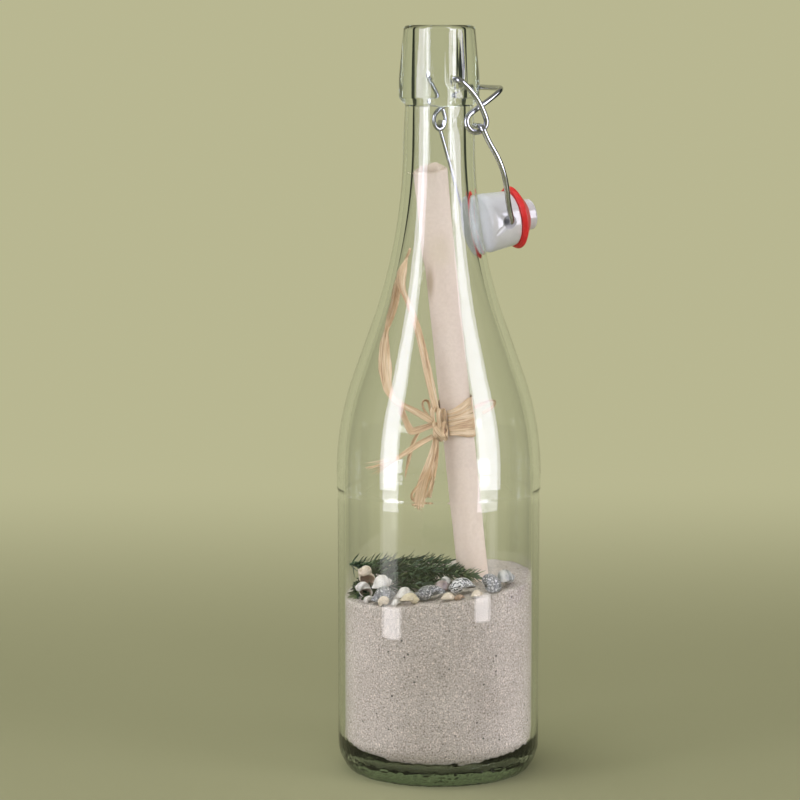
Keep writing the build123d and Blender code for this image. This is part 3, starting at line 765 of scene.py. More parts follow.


# Each strand's route, then its widths, turns in degrees and cups, keyed by the share of its length. Some give
# a length as well; frays are the count, length, spread and width of the loose threads at the end.
strands = {
    "raffia_loop_tall": {
        "route": [(-2.34, 0.20, 8.47), (-3.43, 0.10, 14.57), (-6.03, 0.60, 26.24), (-8.41, 1.40, 36.99),
                  (-11.00, 2.30, 47.30), (-14.23, 3.10, 55.87), (-16.81, 3.70, 62.74), (-15.52, 4.30, 70.03),
                  (-12.72, 4.90, 77.32), (-12.46, 5.30, 79.44), (-13.58, 5.90, 76.38), (-16.38, 7.30, 69.35),
                  (-18.50, 8.10, 61.49), (-19.62, 7.90, 54.57), (-22.00, 6.50, 47.32), (-23.72, 5.30, 40.93),
                  (-24.11, 3.70, 33.28), (-23.67, 1.70, 25.25), (-22.85, -0.10, 18.51),
                  (-20.48, -1.10, 13.85), (-15.30, -1.50, 10.86), (-9.70, -1.50, 8.47),
                  (-3.64, -0.60, 4.22)],
        "widths": [(0, 3.4), (0.10, 4.2), (0.22, 3.6), (0.32, 2.6), (0.37, 3.4), (0.42, 3.2), (0.465, 0.9),
                   (0.49, 1.1), (0.53, 3.0), (0.58, 4.4), (0.64, 4.2), (0.69, 2.6), (0.74, 4.6), (0.79, 6.0),
                   (0.84, 4.2), (0.88, 2.4), (1, 3.0)],
        "turns": [(0, 15), (0.3, 20), (0.37, 5), (0.46, 0), (0.50, 10), (0.6, 0), (0.80, -5), (0.92, 5),
                  (1, 0)],
        "cups": [(0, 0.45), (0.3, 0.5), (0.4, 0.2), (0.5, 0.2), (0.57, 0.9), (0.67, 1.0), (0.74, 0.25),
                 (0.86, 0.1), (1, 0.2)],
        "length": 155.0, "far": "object", "seed": 1.3},
    "raffia_loop_low": {
        "route": [(-3.61, 2.00, 2.56), (-8.15, 2.60, 0.95), (-12.69, 3.00, -0.63), (-13.34, 3.10, 0.23),
                  (-15.51, 3.40, 4.56), (-17.24, 3.70, 8.67), (-16.37, 3.80, 10.27), (-14.43, 3.90, 9.52),
                  (-10.10, 3.70, 7.14), (-4.47, 2.50, 4.24)],
        "widths": [(0, 2.8), (0.3, 3.6), (0.44, 3.0), (0.55, 3.2), (0.68, 2.0), (1, 2.4)],
        "turns": [(0, 10), (0.35, 10), (0.6, 10), (1, 10)],
        "cups": [(0, 0.2), (0.5, 0.5), (1, 0.2)],
        "length": 37.1, "far": "object", "seed": 2.1},
    "raffia_tail_left": {
        "route": [(-3.62, 0.50, -2.03), (-10.54, -0.50, -5.82), (-17.89, -1.10, -10.98),
                  (-24.81, -0.50, -14.34), (-32.18, 1.10, -15.89)],
        "widths": [(0, 2.6), (0.3, 2.7), (0.58, 1.9), (0.72, 0.95), (1, 0.75)],
        "turns": [(0, -10), (0.4, 15), (1, -20)],
        "cups": [(0, 0.5), (0.5, 0.3), (1, 0.2)],
        "length": 33.5, "far": "bare", "seed": 3.4, "frays": (9, 11.5, 3.4, 0.50), "fraysFrom": 0.66},
    "raffia_tail_long": {
        "route": [(-1.97, 1.10, -1.24), (-3.01, 0.30, -7.68), (-5.34, -0.10, -15.05), (-8.15, -0.60, -23.29),
                  (-10.09, -0.50, -32.07)],
        "widths": [(0, 2.4), (0.3, 3.6), (0.7, 5.0), (1, 5.6)],
        "turns": [(0, 15), (0.5, 0), (1, -15)],
        "cups": [(0, 0.6), (0.5, 0.2), (1, 0.1)],
        "length": 31.7, "far": "bare", "seed": 4.2, "frays": (6, 2.0, 2.4, 0.7),
        "beside": [
            ([(-1.63, 0.60, -2.05), (-1.72, 0.00, -8.95), (-2.97, -0.70, -17.15),
              (-5.55, -1.10, -28.03)], 2.7),
            ([(-7.08, -1.00, -17.54), (-9.46, -1.50, -22.72), (-11.62, -1.90, -25.06),
              (-12.87, -1.70, -26.84), (-12.52, -1.30, -28.96), (-11.31, -1.00, -28.57)], 1.5),
            ([(-3.62, -1.10, -19.28), (-4.91, -1.70, -24.00), (-5.43, -1.30, -27.12),
              (-6.63, -0.90, -28.28)], 1.6)]},
    "raffia_loop_right": {
        "route": [(14.25, 4.09, 9.69), (19.14, 4.30, 12.62), (23.38, 7.30, 12.91), (22.76, 11.12, 8.91),
                  (18.16, 12.31, 6.31)],
        "widths": [(0, 1.7), (0.5, 1.6), (1, 1.5)],
        "turns": [(0, 0), (0.5, 25), (1, 40)],
        "cups": [(0, 0.3), (1, 0.3)], "seed": 5.1},
    "raffia_tail_short": {
        "route": [(-8.77, 6.10, -0.17), (-11.59, 5.70, -4.50), (-13.11, 5.10, -9.24), (-14.07, 4.70, -14.00),
                  (-15.11, 4.50, -19.02)],
        "widths": [(0, 1.8), (0.5, 2.2), (1, 1.2)],
        "turns": [(0, 30), (0.5, 10), (1, 40)],
        "cups": [(0, 0.8), (1, 0.6)], "seed": 6.7, "frays": (3, 2.5, 0.8, 0.4)},
}


def knotLine(name, route, step):
    return evenLine(smoothLine(name, [knotMiddle + Vector(spot) for spot in route]), step)


def strandThreads(name, strand, line, facings):
    # The frayed end's threads and any bands that lie beside it, as a piece of their own.
    r = raffia
    made = ([], [], [])
    cut = int(len(line) * strand.get("fraysFrom", 1))
    addFrays(made, line[:cut], facings[:cut], *strand["frays"], strand["seed"])
    for number, (route, width) in enumerate(strand.get("beside", [])):
        other = knotLine(name, route, r["besideStep"])
        turn = r["besideTurn"] - r["besideSwing"] * number
        addBand(made, other, bandFacings(other, [(0, turn), (1, -turn)]),
                shares(r["besideWidths"], width), r["besideCups"], strand["seed"] + 5 + number)
    return raffiaPiece(name + "_threads", made)


for node, strand in strands.items():
    name = node.replace("raffia_", "")
    path = smoothLine(node, [knotMiddle + Vector(spot) for spot in strand["route"]])
    line = evenLine(path, raffia["step"])
    facings = bandFacings(line, strand["turns"])
    made = ([], [], [])
    addBand(made, line, facings, strand["widths"], strand["cups"], strand["seed"])
    piece = raffiaPiece(name + "_strand", made, node)
    threads = [strandThreads(name, strand, line, facings)] if "frays" in strand else []
print("strands", len(strands))

# Wrap: bands round the letter that fan out behind it and draw together at the knot
wrap = {
    "bands": [(-7.2, -4.6, 3.9), (-3.6, -2.2, 3.7), (-0.2, 0.6, 3.8), (3.3, 3.6, 3.7), (6.6, 6.6, 3.8)],
    "radius": 7.35, "layer": 0.16, "lift": 3.0, "liftReach": 62, "start": 9, "step": 3, "fanOut": 2.2,
    "middle": 2.2, "nearShare": 0.8, "waver": 0.18, "sway": 0.5,
    "widths": [(0, 0.6), (0.14, 0.95), (0.5, 1), (0.86, 0.95), (1, 0.6)],
    "cups": [(0, 0.3), (0.12, 0.05), (0.88, 0.05), (1, 0.3)],
}
made = ([], [], [])
for number, (away, near, width) in enumerate(wrap["bands"]):
    line, facings = [], []
    count = round((360 - 2 * wrap["start"]) / wrap["step"])
    for i in range(count + 1):
        turn = wrap["start"] + (360 - 2 * wrap["start"]) * i / count
        off = min(turn, 360 - turn)
        close = max(0, 1 - off / wrap["liftReach"])
        fan = min(1, (1 - cos(radians(off))) / 2 * wrap["fanOut"])
        radius = wrap["radius"] + wrap["layer"] * (number % 3) + wrap["lift"] * close ** 2
        radius += wrap["waver"] * noise.noise(Vector((turn / 25, number * 3.1, 0)))
        height = (near * wrap["nearShare"] - raffia["knotDrop"] + wrap["middle"]) * (1 - fan) + away * fan
        height += raffia["wrapHeight"] + wrap["sway"] * noise.noise(Vector((turn / 60, number * 1.7, 5)))
        angle = radians(raffia["knotTurn"] - 90 + turn)
        line.append(alongScroll(radius * cos(angle), radius * sin(angle), height))
        facings.append((scrollTurn @ Vector((cos(angle), sin(angle), 0))).normalized())
    addBand(made, line, squared(facings, line), shares(wrap["widths"], width), wrap["cups"], 8 + number * 1.3)
raffiaPiece("letter_wrap", made, "raffia_wrap")

# Knot: a slanting band round upright folds, with two boxy lobes and a small loop above it
knot = {
    "ring": {"radius": 3.0, "deep": 2.5, "grow": 0.25, "lean": 35, "back": 0.35, "wave": 0.6, "start": 200,
             "turn": 375, "steps": 60, "width": 3.4, "widths": [(0, 0.7), (0.2, 1), (0.8, 1), (1, 0.6)],
             "cups": [(0, -0.35), (1, -0.35)]},
    "widths": [(0, 0.7), (0.3, 1), (0.7, 1), (1, 0.7)], "cups": [(0, 0.5), (0.5, 0.25), (1, 0.5)],
    "folds": [
        {"spots": [(-2.2, 0.6, -4.0), (-2.0, -1.8, -2.6), (-1.6, -2.5, 0), (-1.4, -1.7, 2.8),
                   (-1.8, 0.6, 4.2)], "width": 2.7, "turn": -18},
        {"spots": [(0.2, 0.4, -4.4), (0.3, -2.2, -2.8), (0.4, -2.9, 0), (0.2, -2.2, 2.8), (0.2, 0.4, 4.4)],
         "width": 2.9, "turn": 0},
        {"spots": [(2.2, 0.8, -3.8), (2.2, -1.6, -2.4), (2.0, -2.3, 0), (2.0, -1.6, 2.6), (2.2, 0.8, 4.0)],
         "width": 2.7, "turn": 22},
        {"spots": [(0, 2.2, -3.6), (0, 2.6, 0), (0, 2.2, 3.6)], "width": 3.6, "turn": 180},
        {"spots": [(-1.6, -1.8, 1.0), (-2.0, -2.2, 5.0), (-2.1, -1.9, 9.6), (-1.9, -0.4, 10.9),
                   (-1.4, 0.9, 9.4), (-1.0, 0.8, 3.0)], "width": 2.6, "turn": -8, "lobe": True},
        {"spots": [(1.0, -1.9, 0.8), (1.2, -2.5, 5.0), (1.5, -2.2, 9.2), (1.8, -0.7, 10.3), (1.9, 0.7, 8.8),
                   (1.4, 0.8, 3.0)], "width": 2.7, "turn": 10, "lobe": True},
    ],
    "loop": [(-3.19, 0.90, 2.71), (-5.79, 1.30, 6.58), (-8.25, 1.70, 10.02), (-8.21, 1.90, 13.21),
             (-5.78, 2.50, 13.62), (-4.65, 2.90, 10.74), (-4.04, 2.70, 5.53)],
    "loopTurns": [(0, 55), (0.5, 65), (1, 60)], "loopWidths": [(0, 1.7), (0.5, 2.0), (1, 1.7)],
    "loopCups": [(0, 0.5), (1, 0.5)],
}


def knotFace(x, y):
    # A direction from the knot's own axes, right and inward, to the row frame.
    turn = radians(raffia["knotTurn"])
    level = Vector((x * cos(turn) - y * sin(turn), x * sin(turn) + y * cos(turn), 0))
    return (scrollTurn @ level).normalized()


def knotRing():
    # The band that slants round the folds, and which way it faces.
    ring = knot["ring"]
    line, facings = [], []
    for i in range(ring["steps"] + 1):
        turn = radians(ring["start"] + ring["turn"] * i / ring["steps"])
        grow = ring["grow"] * i / ring["steps"]
        x, y = (ring["radius"] + grow) * cos(turn), (ring["deep"] + grow) * sin(turn)
        lean = radians(ring["lean"])
        line.append(knotSpot(x * cos(lean), y - ring["back"], -x * sin(lean) + ring["wave"] * sin(2 * turn)))
        facings.append((line[-1] - knotSpot(0, -ring["back"], 0)).normalized())
    return line, squared(facings, line)


made = ([], [], [])
front = knotFace(0, -1)
for number, fold in enumerate(knot["folds"]):
    line = evenLine(smoothLine("fold", [knotSpot(*spot) for spot in fold["spots"]]), raffia["foldStep"])
    facings = bandFacings(line, [(share, fold["turn"]) for share in (0, 0.5, 1)], front)
    if "lobe" in fold:
        facings = [tangent.cross(knotFace(1, 0)).normalized() for tangent in lineTangents(line)]
        facings = [-face if facings[1].dot(front) < 0 else face for face in facings]
    addBand(made, line, facings, shares(knot["widths"], fold["width"]), knot["cups"], 20 + number * 1.9)
line = knotLine("fold", knot["loop"], raffia["foldStep"])
addBand(made, line, bandFacings(line, knot["loopTurns"]), knot["loopWidths"], knot["loopCups"], 43)
ring = knot["ring"]
addBand(made, *knotRing(), shares(ring["widths"], ring["width"]), ring["cups"], 31)
raffiaPiece("letter_knot", made, "raffia_knot")
print("raffia tied")

# Greenery: twigs thick with short flat needles
greenery = {
    "stem": 0.55, "needle": 5.6, "needleWidth": 1.15, "spacing": 0.24, "splay": 52, "wild": 24, "seed": 11,
    "room": [(0, 0.95), (0.5, 1), (0.85, 0.8), (1, 0.5)],
    "needleRows": ((0, 0.35), (0.3, 0.95), (0.65, 0.85), (0.88, 0.45)),
    "ridge": 0.22, "droop": 0.10, "arch": 0.8, "twigStep": 0.8, "golden": 2.399963, "lengths": (0.7, 1.25),
    "widths": (0.8, 1.15), "pale": 0.3, "paleFrom": 0.88, "size": 10, "stemTip": 0.4, "stemTone": 0.55,
    "jitter": 0.25, "overRoom": 1.02, "dark": 0.12, "bright": 0.75, "root": 0.6,
    "tones": [(0.0, (0.012, 0.028, 0.012)), (0.4, (0.035, 0.070, 0.028)), (0.7, (0.085, 0.140, 0.060)),
              (1.0, (0.19, 0.24, 0.10))],
    "mottle": (700, 3, 0.6), "mottleTones": [(0.35, (0.72, 0.74, 0.70)), (0.7, (1, 1, 1))],
    "bump": (0.3, 0.0002),
    # each twig's foot and tip, across and to the back as shares of the inner radius, and their height and
    # the twig's thickness as shares of the size
    "twigs": {
        "sprig_long": [
            ((-0.93, 0.06, 1.20), (0.40, -0.36, 0.46), 1.25),
            ((-0.58, -0.28, 0.36), (0.14, -0.44, 0.24), 1.05),
            ((-0.70, 0.14, 1.06), (0.12, 0.06, 0.80), 1.05),
            ((-0.52, -0.04, 0.84), (-0.08, -0.36, 0.42), 1.0),
            ((-0.30, -0.10, 0.74), (0.24, -0.14, 0.56), 1.0),
            ((-0.84, 0.02, 0.92), (-0.36, -0.26, 0.66), 1.0),
            ((-0.62, -0.10, 0.55), (-0.10, -0.20, 0.50), 1.1)],
        "sprig_short": [
            ((-0.72, 0.28, 0.40), (-0.86, -0.34, 0.20), 0.85),
            ((-0.68, 0.10, 0.34), (-0.74, -0.46, 0.16), 0.7)],
    },
}
sandX = Vector((1, 0, sand["riseRight"])).normalized()
sandZ = Vector((-sand["riseRight"], -sand["riseBack"], 1)).normalized()
sandY = sandZ.cross(sandX)


def onSand(x, y, height):
    # From the sand's own plane to the row frame.
    return Vector((0, 0, sand["level"])) + sandX * x + sandY * y + sandZ * height


def addNeedle(made, start, heading, flat, length, width, tone):
    # One flat needle: three-sided rows that narrow to both ends.
    points, faces, marks = made
    side = heading.cross(flat).normalized()
    base = len(points)
    rows, droop = greenery["needleRows"], greenery["droop"]
    for share, wide in rows:
        at = start + heading * length * share + flat * (-droop * length * share * share)
        half = side * width * wide / 2
        points += [at - half, at + flat * width * wide * greenery["ridge"], at + half]
        marks += [(share, tone, 0)] * 3
    points.append(start + heading * length - flat * droop * length)
    marks.append((1, tone, 0))
    for row in range(len(rows) - 1):
        for k in range(3):
            a, b = base + row * 3 + k, base + row * 3 + (k + 1) % 3
            faces.append((a, b, b + 3, a + 3))
    tip = base + 3 * len(rows)
    for k in range(3):
        faces.append((tip - 3 + k, tip - 3 + (k + 1) % 3, tip))
    faces.append((base + 2, base + 1, base))


def addTube(made, line, radii, mark, sides=8):
    points, faces, marks = made
    base = len(points)
    tangents = lineTangents(line)
    facings = bandFacings(line, [(0, 0), (1, 0)], (0.2, -0.3, 0.93))
    last = len(line) - 1
    for i, spot in enumerate(line):
        across = facings[i].cross(tangents[i])
        for k in range(sides):
            turn = 2 * pi * k / sides
            points.append(spot + (facings[i] * cos(turn) + across * sin(turn)) * keyed(radii, i / last))
            marks.append(mark)
    faces += [tuple(base + i for i in face) for face in ringFaces(last + 1, sides)]
    faces.append(tuple(base + i for i in range(sides)))
    faces.append(tuple(base + last * sides + i for i in reversed(range(sides))))


def needleMaterial():
    g = greenery
    material, tree, shader = newMaterial("darkNeedles", {"Roughness": 0.5})
    tone = colourRamp(tree, split(tree, grainMarks(tree))["Y"], g["tones"])
    mottle = objectNoise(tree, *g["mottle"])
    shade = colourRamp(tree, mottle, g["mottleTones"])
    setColour(tree, shader, mixColour(tree, 1.0, tone, shade, "MULTIPLY"))
    addBump(tree, shader, mottle, *g["bump"])
    return material


def addTwig(made, foot, tip, thick, rng):
    # An arched stem with needles set round it in a spiral, each as long as the twig's thickness lets it be.
    g = greenery
    inner = bottle["inner"]
    first, last = [onSand(x * inner, y * inner, lift * g["size"]) for x, y, lift in (foot, tip)]
    middle = first.lerp(last, 0.5) + (onSand(0, 0, 1) - onSand(0, 0, 0)) * g["arch"]
    spots = [first, first.lerp(middle, 0.6), middle.lerp(last, 0.4), last]
    line = evenLine(smoothLine("twig", spots), g["twigStep"])
    addTube(made, line, [(0, g["stem"]), (1, g["stem"] * g["stemTip"])], (0, g["stemTone"], 0))
    tangents = lineTangents(line)
    count = int(sum((b - a).length for a, b in zip(line, line[1:])) / g["spacing"])
    for k in range(count):
        share = (k + 0.5) / count
        at = share * (len(line) - 1)
        i = int(at)
        spot = line[i].lerp(line[min(i + 1, len(line) - 1)], at - i)
        ahead = tangents[i]
        around = k * g["golden"] + rng.uniform(-g["jitter"], g["jitter"])
        level = sandZ.cross(ahead).normalized()
        out = level * cos(around) + ahead.cross(level) * sin(around)
        room = thick * g["size"] / 2 * keyed(g["room"], share)
        splay = radians(g["splay"] + rng.uniform(-g["wild"], g["wild"]))
        length = min(g["needle"] * rng.uniform(*g["lengths"]), room / sin(splay) * g["overRoom"])
        heading = (ahead * cos(splay) + out * sin(splay)).normalized()
        flat = (out - heading * out.dot(heading)).normalized()
        tone = g["dark"] + g["bright"] * rng.random() ** 2 + (g["pale"] if share > g["paleFrom"] else 0)
        width = g["needleWidth"] * rng.uniform(*g["widths"])
        addNeedle(made, spot + out * g["stem"] * g["root"], heading, flat, length, width, tone)


needleSkin = needleMaterial()
for node, twigs in greenery["twigs"].items():
    rng = random.Random(greenery["seed"])
    made = ([], [], [])
    for foot, tip, thick in twigs:
        addTwig(made, foot, tip, thick, rng)
    points, faces, marks = made
    piece = meshPiece(node + "_needles", points, faces, needleSkin, [node], smooth=False)
    addMarks(piece, marks)
    print(node, len(points), "points")

# Shells: a tube wound in a growing spiral, with a thick lip round its open mouth
shells = {
    "size": 10.0, "growth": 0.15, "turns": 4.4, "perTurn": 44, "around": 30, "lip": 0.13, "mouthTurn": -78,
    "cords": 9, "cordHeight": 0.010, "dents": 0.012, "recess": 0.16, "plump": 0.60, "tall": 1.04,
    "most": 0.46, "sink": 0.25, "mottle": (420, 4, 0.6), "wobble": 0.35,
    "flames": 13, "dotsAlong": 15, "dotsAround": 7,
    "bands": 5, "lines": (1600, 2, 0.5), "lineTones": [(0.3, (0.80, 0.78, 0.76)), (0.6, (1, 1, 1))],
    "lineShare": 0.5, "bump": (0.25, 0.0002), "mottleShare": 0.9, "bandShare": 0.25,
    # the lip's rings as shares of its thickness with their turns, and the steps of the recess behind it
    "lipRings": [(0.5, 0.015), (1, -0.02)], "recessNarrow": 0.35, "recessTurn": 0.75,
    "recessSteps": (0.2, 0.45, 0.75, 1.0),
    # where the dark, middle and light tones lie
    "stops": {"flames": (0.30, 0.46, 0.58), "dots": (0.40, 0.66, 0.76), "bands": (0.22, 0.45, 0.68),
              "plain": (0.30, 0.48, 0.68)},
}


def spiralShell(length, width, seed):
    # Points along +X from the base to the tip of the spire, with the mouth below the axis.
    s = shells
    growth = s["growth"]
    shrink = exp(-growth * pi)
    tubeOut = width / (1 + shrink) * s["plump"]
    centreOut = width / (1 + shrink) - tubeOut
    tubeLong = min(tubeOut * s["tall"] * length / width, length * s["most"])
    run = length - tubeLong
    points, marks = [], []
    steps = int(s["turns"] * s["perTurn"])
    cols = s["around"]

    def ringAt(angle, size, inset=1.0):
        ring = []
        for k in range(cols):
            phi = 2 * pi * k / cols
            bump = 1 + s["cordHeight"] * cos(phi * s["cords"])
            bump += s["dents"] * noise.noise(Vector((angle * 3, phi, seed)))
            out = (centreOut + tubeOut * inset * bump * cos(phi)) * size
            drop = (run + tubeLong * inset * bump * sin(phi)) * size
            ring.append(Vector((length / 2 - drop, out * cos(angle), out * sin(angle))))
            marks.append((angle / (2 * pi), k / cols, size))
        return ring

    end = radians(s["mouthTurn"])
    for i in range(steps + 1):
        back = 2 * pi * s["turns"] * (1 - i / steps)
        points += ringAt(end - back, exp(-growth * back))
    inner = [(1 - s["lip"] * part, shift) for part, shift in s["lipRings"]]
    inner += [(1 - s["lip"] - s["recess"] * s["recessNarrow"] * part, -s["recessTurn"] * part)
              for part in s["recessSteps"]]
    for inset, shift in inner:
        points += ringAt(end + shift, exp(growth * min(0, shift)), inset)
    rows = steps + 1 + len(inner)
    faces = ringFaces(rows, cols)
    faces.append(tuple(range(cols)))
    faces.append(tuple((rows - 1) * cols + k for k in reversed(range(cols))))
    inside = (steps + 2) * cols
    return points, faces, [(a, b, -1.0 if i >= inside else c) for i, (a, b, c) in enumerate(marks)]


def shellMaterial(name, tones, pattern, paintedMouthShade):
    # The marks say how many turns along the tube, how far round it and, below 0, that it is in the mouth.
    s = shells
    material, tree, shader = newMaterial(name, {"Roughness": 0.34, "Coat Weight": 0.15})
    parts = split(tree, grainMarks(tree))
    mottle = objectNoise(tree, *s["mottle"])

    def wave(value, cycles):
        return calculate(tree, "SINE", calculate(tree, "MULTIPLY", value, 2 * pi * cycles))

    def scaled(value, share, rest):
        return calculate(tree, "ADD", calculate(tree, "MULTIPLY", value, share), rest)

    turns = calculate(tree, "ADD", parts["X"], calculate(tree, "MULTIPLY", mottle, s["wobble"]))
    if pattern == "flames":
        fac = scaled(wave(turns, s["flames"]), 0.5, 0.5)
    elif pattern == "dots":
        both = calculate(tree, "MULTIPLY", wave(turns, s["dotsAlong"]), wave(parts["Y"], s["dotsAround"]))
        fac = scaled(both, 0.5, 0.5)
    elif pattern == "bands":
        rest = calculate(tree, "MULTIPLY", mottle, s["mottleShare"])
        fac = scaled(wave(parts["Y"], s["bands"]), s["bandShare"], rest)
    else:
        fac = mottle
    skin = colourRamp(tree, fac, list(zip(s["stops"][pattern], reversed(tones))))
    lines = objectNoise(tree, *s["lines"])
    skin = mixColour(tree, s["lineShare"], skin, colourRamp(tree, lines, s["lineTones"]), "MULTIPLY")
    # inside the opening the skin gives way to the mouth's painted shade
    inMouth = calculate(tree, "GREATER_THAN", calculate(tree, "MULTIPLY", parts["Z"], -1), 0.5)
    setColour(tree, shader, mixColour(tree, inMouth, skin, paintedMouthShade))
    addBump(tree, shader, lines, *s["bump"])
    return material


# Light, middle and dark tone, pattern and the mouth's tone, which is painted shade for the hollow inside the
# opening
shellLooks = {
    "cream": (((0.76, 0.67, 0.52), (0.68, 0.57, 0.43), (0.54, 0.43, 0.31)), "plain", (0.30, 0.20, 0.13)),
    "white": (((0.80, 0.76, 0.70), (0.72, 0.67, 0.60), (0.56, 0.52, 0.46)), "bands", (0.34, 0.26, 0.20)),
    "yellow": (((0.76, 0.67, 0.47), (0.70, 0.60, 0.41), (0.58, 0.47, 0.31)), "plain", (0.30, 0.20, 0.13)),
    "ashen": (((0.58, 0.56, 0.52), (0.42, 0.41, 0.38), (0.24, 0.24, 0.22)), "bands", (0.16, 0.10, 0.08)),
    "dotted": (((0.60, 0.59, 0.57), (0.20, 0.19, 0.19), (0.10, 0.10, 0.105)), "dots", (0.10, 0.07, 0.06)),
    "striped": (((0.74, 0.73, 0.70), (0.24, 0.24, 0.24), (0.03, 0.032, 0.036)), "flames", (0.14, 0.10, 0.08)),
    "mauve": (((0.42, 0.34, 0.32), (0.31, 0.245, 0.235), (0.20, 0.15, 0.15)), "bands", (0.14, 0.08, 0.08)),
    "brown": (((0.50, 0.36, 0.24), (0.34, 0.22, 0.14), (0.18, 0.11, 0.07)), "plain", (0.12, 0.07, 0.05)),
}
shellSkins = {kind: shellMaterial(kind + "Shell", *look) for kind, look in shellLooks.items()}

# Across and to the back as shares of the inner radius, then lift, length and width as shares of the size,
# then turn, tilt and roll in degrees, the skin and the record's slot.
shellPlaces = {
    "shell_cream_mouth": (-0.725, -0.24, 0.42, 0.96, 0.84, 200, 35, -12, "cream", "shell_pale"),
    "shell_whitish": (-0.585, -0.42, 0.44, 1.00, 0.80, 20, 5, -95, "white", "shell_pale"),
    "shell_open_dark": (-0.765, -0.43, 0.12, 0.78, 0.68, 160, 10, -12, "white", "shell_grey"),
    "shell_small_pale": (-0.725, -0.58, 0, 0.52, 0.42, 150, 0, -100, "white", "shell_pale"),
    "shell_dark_speckled": (-0.575, -0.60, 0.05, 1.14, 0.86, 15, 0, -85, "dotted", "shell_grey"),
    "shell_pale_disc": (-0.555, -0.765, 0, 0.48, 0.52, 275, 0, -60, "cream", "shell_pale"),
    "shell_white_large": (-0.355, -0.66, 0.08, 0.84, 0.70, 10, 0, -100, "white", "shell_pale"),
    "shell_white_small": (-0.445, -0.83, 0, 0.44, 0.38, 190, 0, -100, "white", "shell_pale"),
    "shell_yellow_cream": (-0.295, -0.83, 0.02, 0.82, 0.62, 340, 0, -110, "yellow", "shell_pale"),
    "shell_long_grey": (-0.10, -0.77, 0.05, 1.42, 0.80, 172, 0, -100, "dotted", "shell_grey"),
    "shell_mauve": (0.03, -0.62, 0.18, 0.98, 0.66, 15, 0, -100, "mauve", "shell_grey"),
    "shell_little_grey": (0.07, -0.49, 0.30, 0.64, 0.54, 50, 0, -100, "ashen", "shell_grey"),
    "shell_cream_left": (0.09, -0.86, 0.02, 0.64, 0.46, 350, 0, -100, "cream", "shell_pale"),
    "shell_striped": (0.235, -0.68, 0.12, 1.20, 0.86, 172, 0, -80, "striped", "shell_grey"),
    "shell_brownish": (0.20, -0.885, 0, 0.50, 0.32, 180, 0, -100, "brown", "shell_grey"),
    "shell_cream_right": (0.375, -0.855, 0.02, 0.60, 0.42, 20, 0, -100, "cream", "shell_pale"),
    "shell_dark_dotted": (0.52, -0.64, 0.05, 1.02, 0.92, 60, 20, -80, "dotted", "shell_grey"),
    "shell_grey_right": (0.68, -0.46, 0.06, 1.06, 0.82, 25, 0, -100, "ashen", "shell_grey"),
}
for number, (node, place) in enumerate(shellPlaces.items()):
    x, y, lift, length, width, turn, tilt, roll, skin, slotName = place
    points, faces, marks = spiralShell(length * shells["size"], width * shells["size"], number * 2.3)
    spin = (Matrix.Rotation(radians(turn), 3, "Z") @ Matrix.Rotation(radians(-tilt), 3, "Y")
            @ Matrix.Rotation(radians(roll), 3, "X"))
    points = [spin @ p for p in points]
    rise = lift * shells["size"] - shells["sink"] - min(p.z for p in points)
    across, back = x * bottle["inner"], y * bottle["inner"]
    points = [onSand(p.x + across, p.y + back, p.z + rise) for p in points]
    addMarks(meshPiece(node + "_spiral", points, faces, shellSkins[skin], [node]), marks)
print("shells", len(shellPlaces))


# Stage: a sage sweep, soft boxes at both sides and above, a fill from the front and dark cloths
stage = {
    "near": -5.0, "back": 1.15, "bend": 0.35, "top": 2.6, "half": 3.5, "floorSteps": 24, "bendStep": 6,
    "paper": (0.375, 0.375, 0.222), "lit": (0.485, 0.474, 0.285), "litStart": 0.12, "litEnd": 0.85,
    "paperMottle": 1.03, "flagMottle": 1.2, "flagBottom": 0.001,
    "world": (0.44, 0.43, 0.37), "fill": 0.60, "beyond": (0.485, 0.474, 0.285),
    "topSize": 0.9, "topRadiance": 2.6, "topPlace": (-0.35, 0.0, 1.3),
    "flagOut": 0.42, "flagFrom": -0.05, "flagTo": 0.32, "flagTop": 0.8, "flagTone": (0.02, 0.03, 0.02),
    # azimuth and width in degrees, distance, lowest and highest edge in metres, radiance, what it lights
    "lamps": {
        "leftBox": (-58, 20, 0.8, 0.0, 0.72, 2.2, "all"),
        "rightBox": (58, 26, 0.8, 0.0, 0.72, 2.35, "all"),
        "leftShine": (-58, 20, 0.79, 0.0, 0.72, 4.9, "gloss"),
        "rightShine": (58, 26, 0.79, 0.0, 0.72, 4.5, "gloss"),
        "leftTile": (-53, 21, 0.3, 0.011, 0.027, 4.5, "gloss"),
        "rightTile": (48, 17, 0.3, 0.020, 0.034, 4.5, "gloss"),
        "leftGlow": (-56, 19, 0.3, 0.027, 0.078, 1.3, "gloss"),
        "rightGlow": (60, 10, 0.3, 0.034, 0.078, 0.8, "gloss"),
        "frontFill": (-6, 62, 2.0, 0.3, 1.9, 1.3, "soft"),
    },
    "tint": (1.0, 0.965, 1.0), "shineTint": (0.95, 0.94, 1.20),
}


def stagePiece(name, points, faces, material):
    # These points are in metres.
    mesh = bpy.data.meshes.new(name)
    mesh.from_pydata(points, [], faces)
    for face in mesh.polygons:
        face.use_smooth = True
    mesh.materials.append(material)
    piece = placed(name, mesh)
    return piece


def sweepMesh():
    s = stage
    run = s["back"] - s["bend"]
    steps = s["floorSteps"]
    outline = [(s["near"] + (run - s["near"]) * i / steps, 0) for i in range(steps + 1)]
    for angle in range(s["bendStep"], 91, s["bendStep"]):
        outline.append((run + s["bend"] * sin(radians(angle)), s["bend"] * (1 - cos(radians(angle)))))
    outline.append((s["back"], s["top"]))
    points = [(side * s["half"], y, z) for y, z in outline for side in (-1, 1)]
    faces = [(2 * i, 2 * i + 1, 2 * i + 3, 2 * i + 2) for i in range(len(outline) - 1)]
    return points, faces


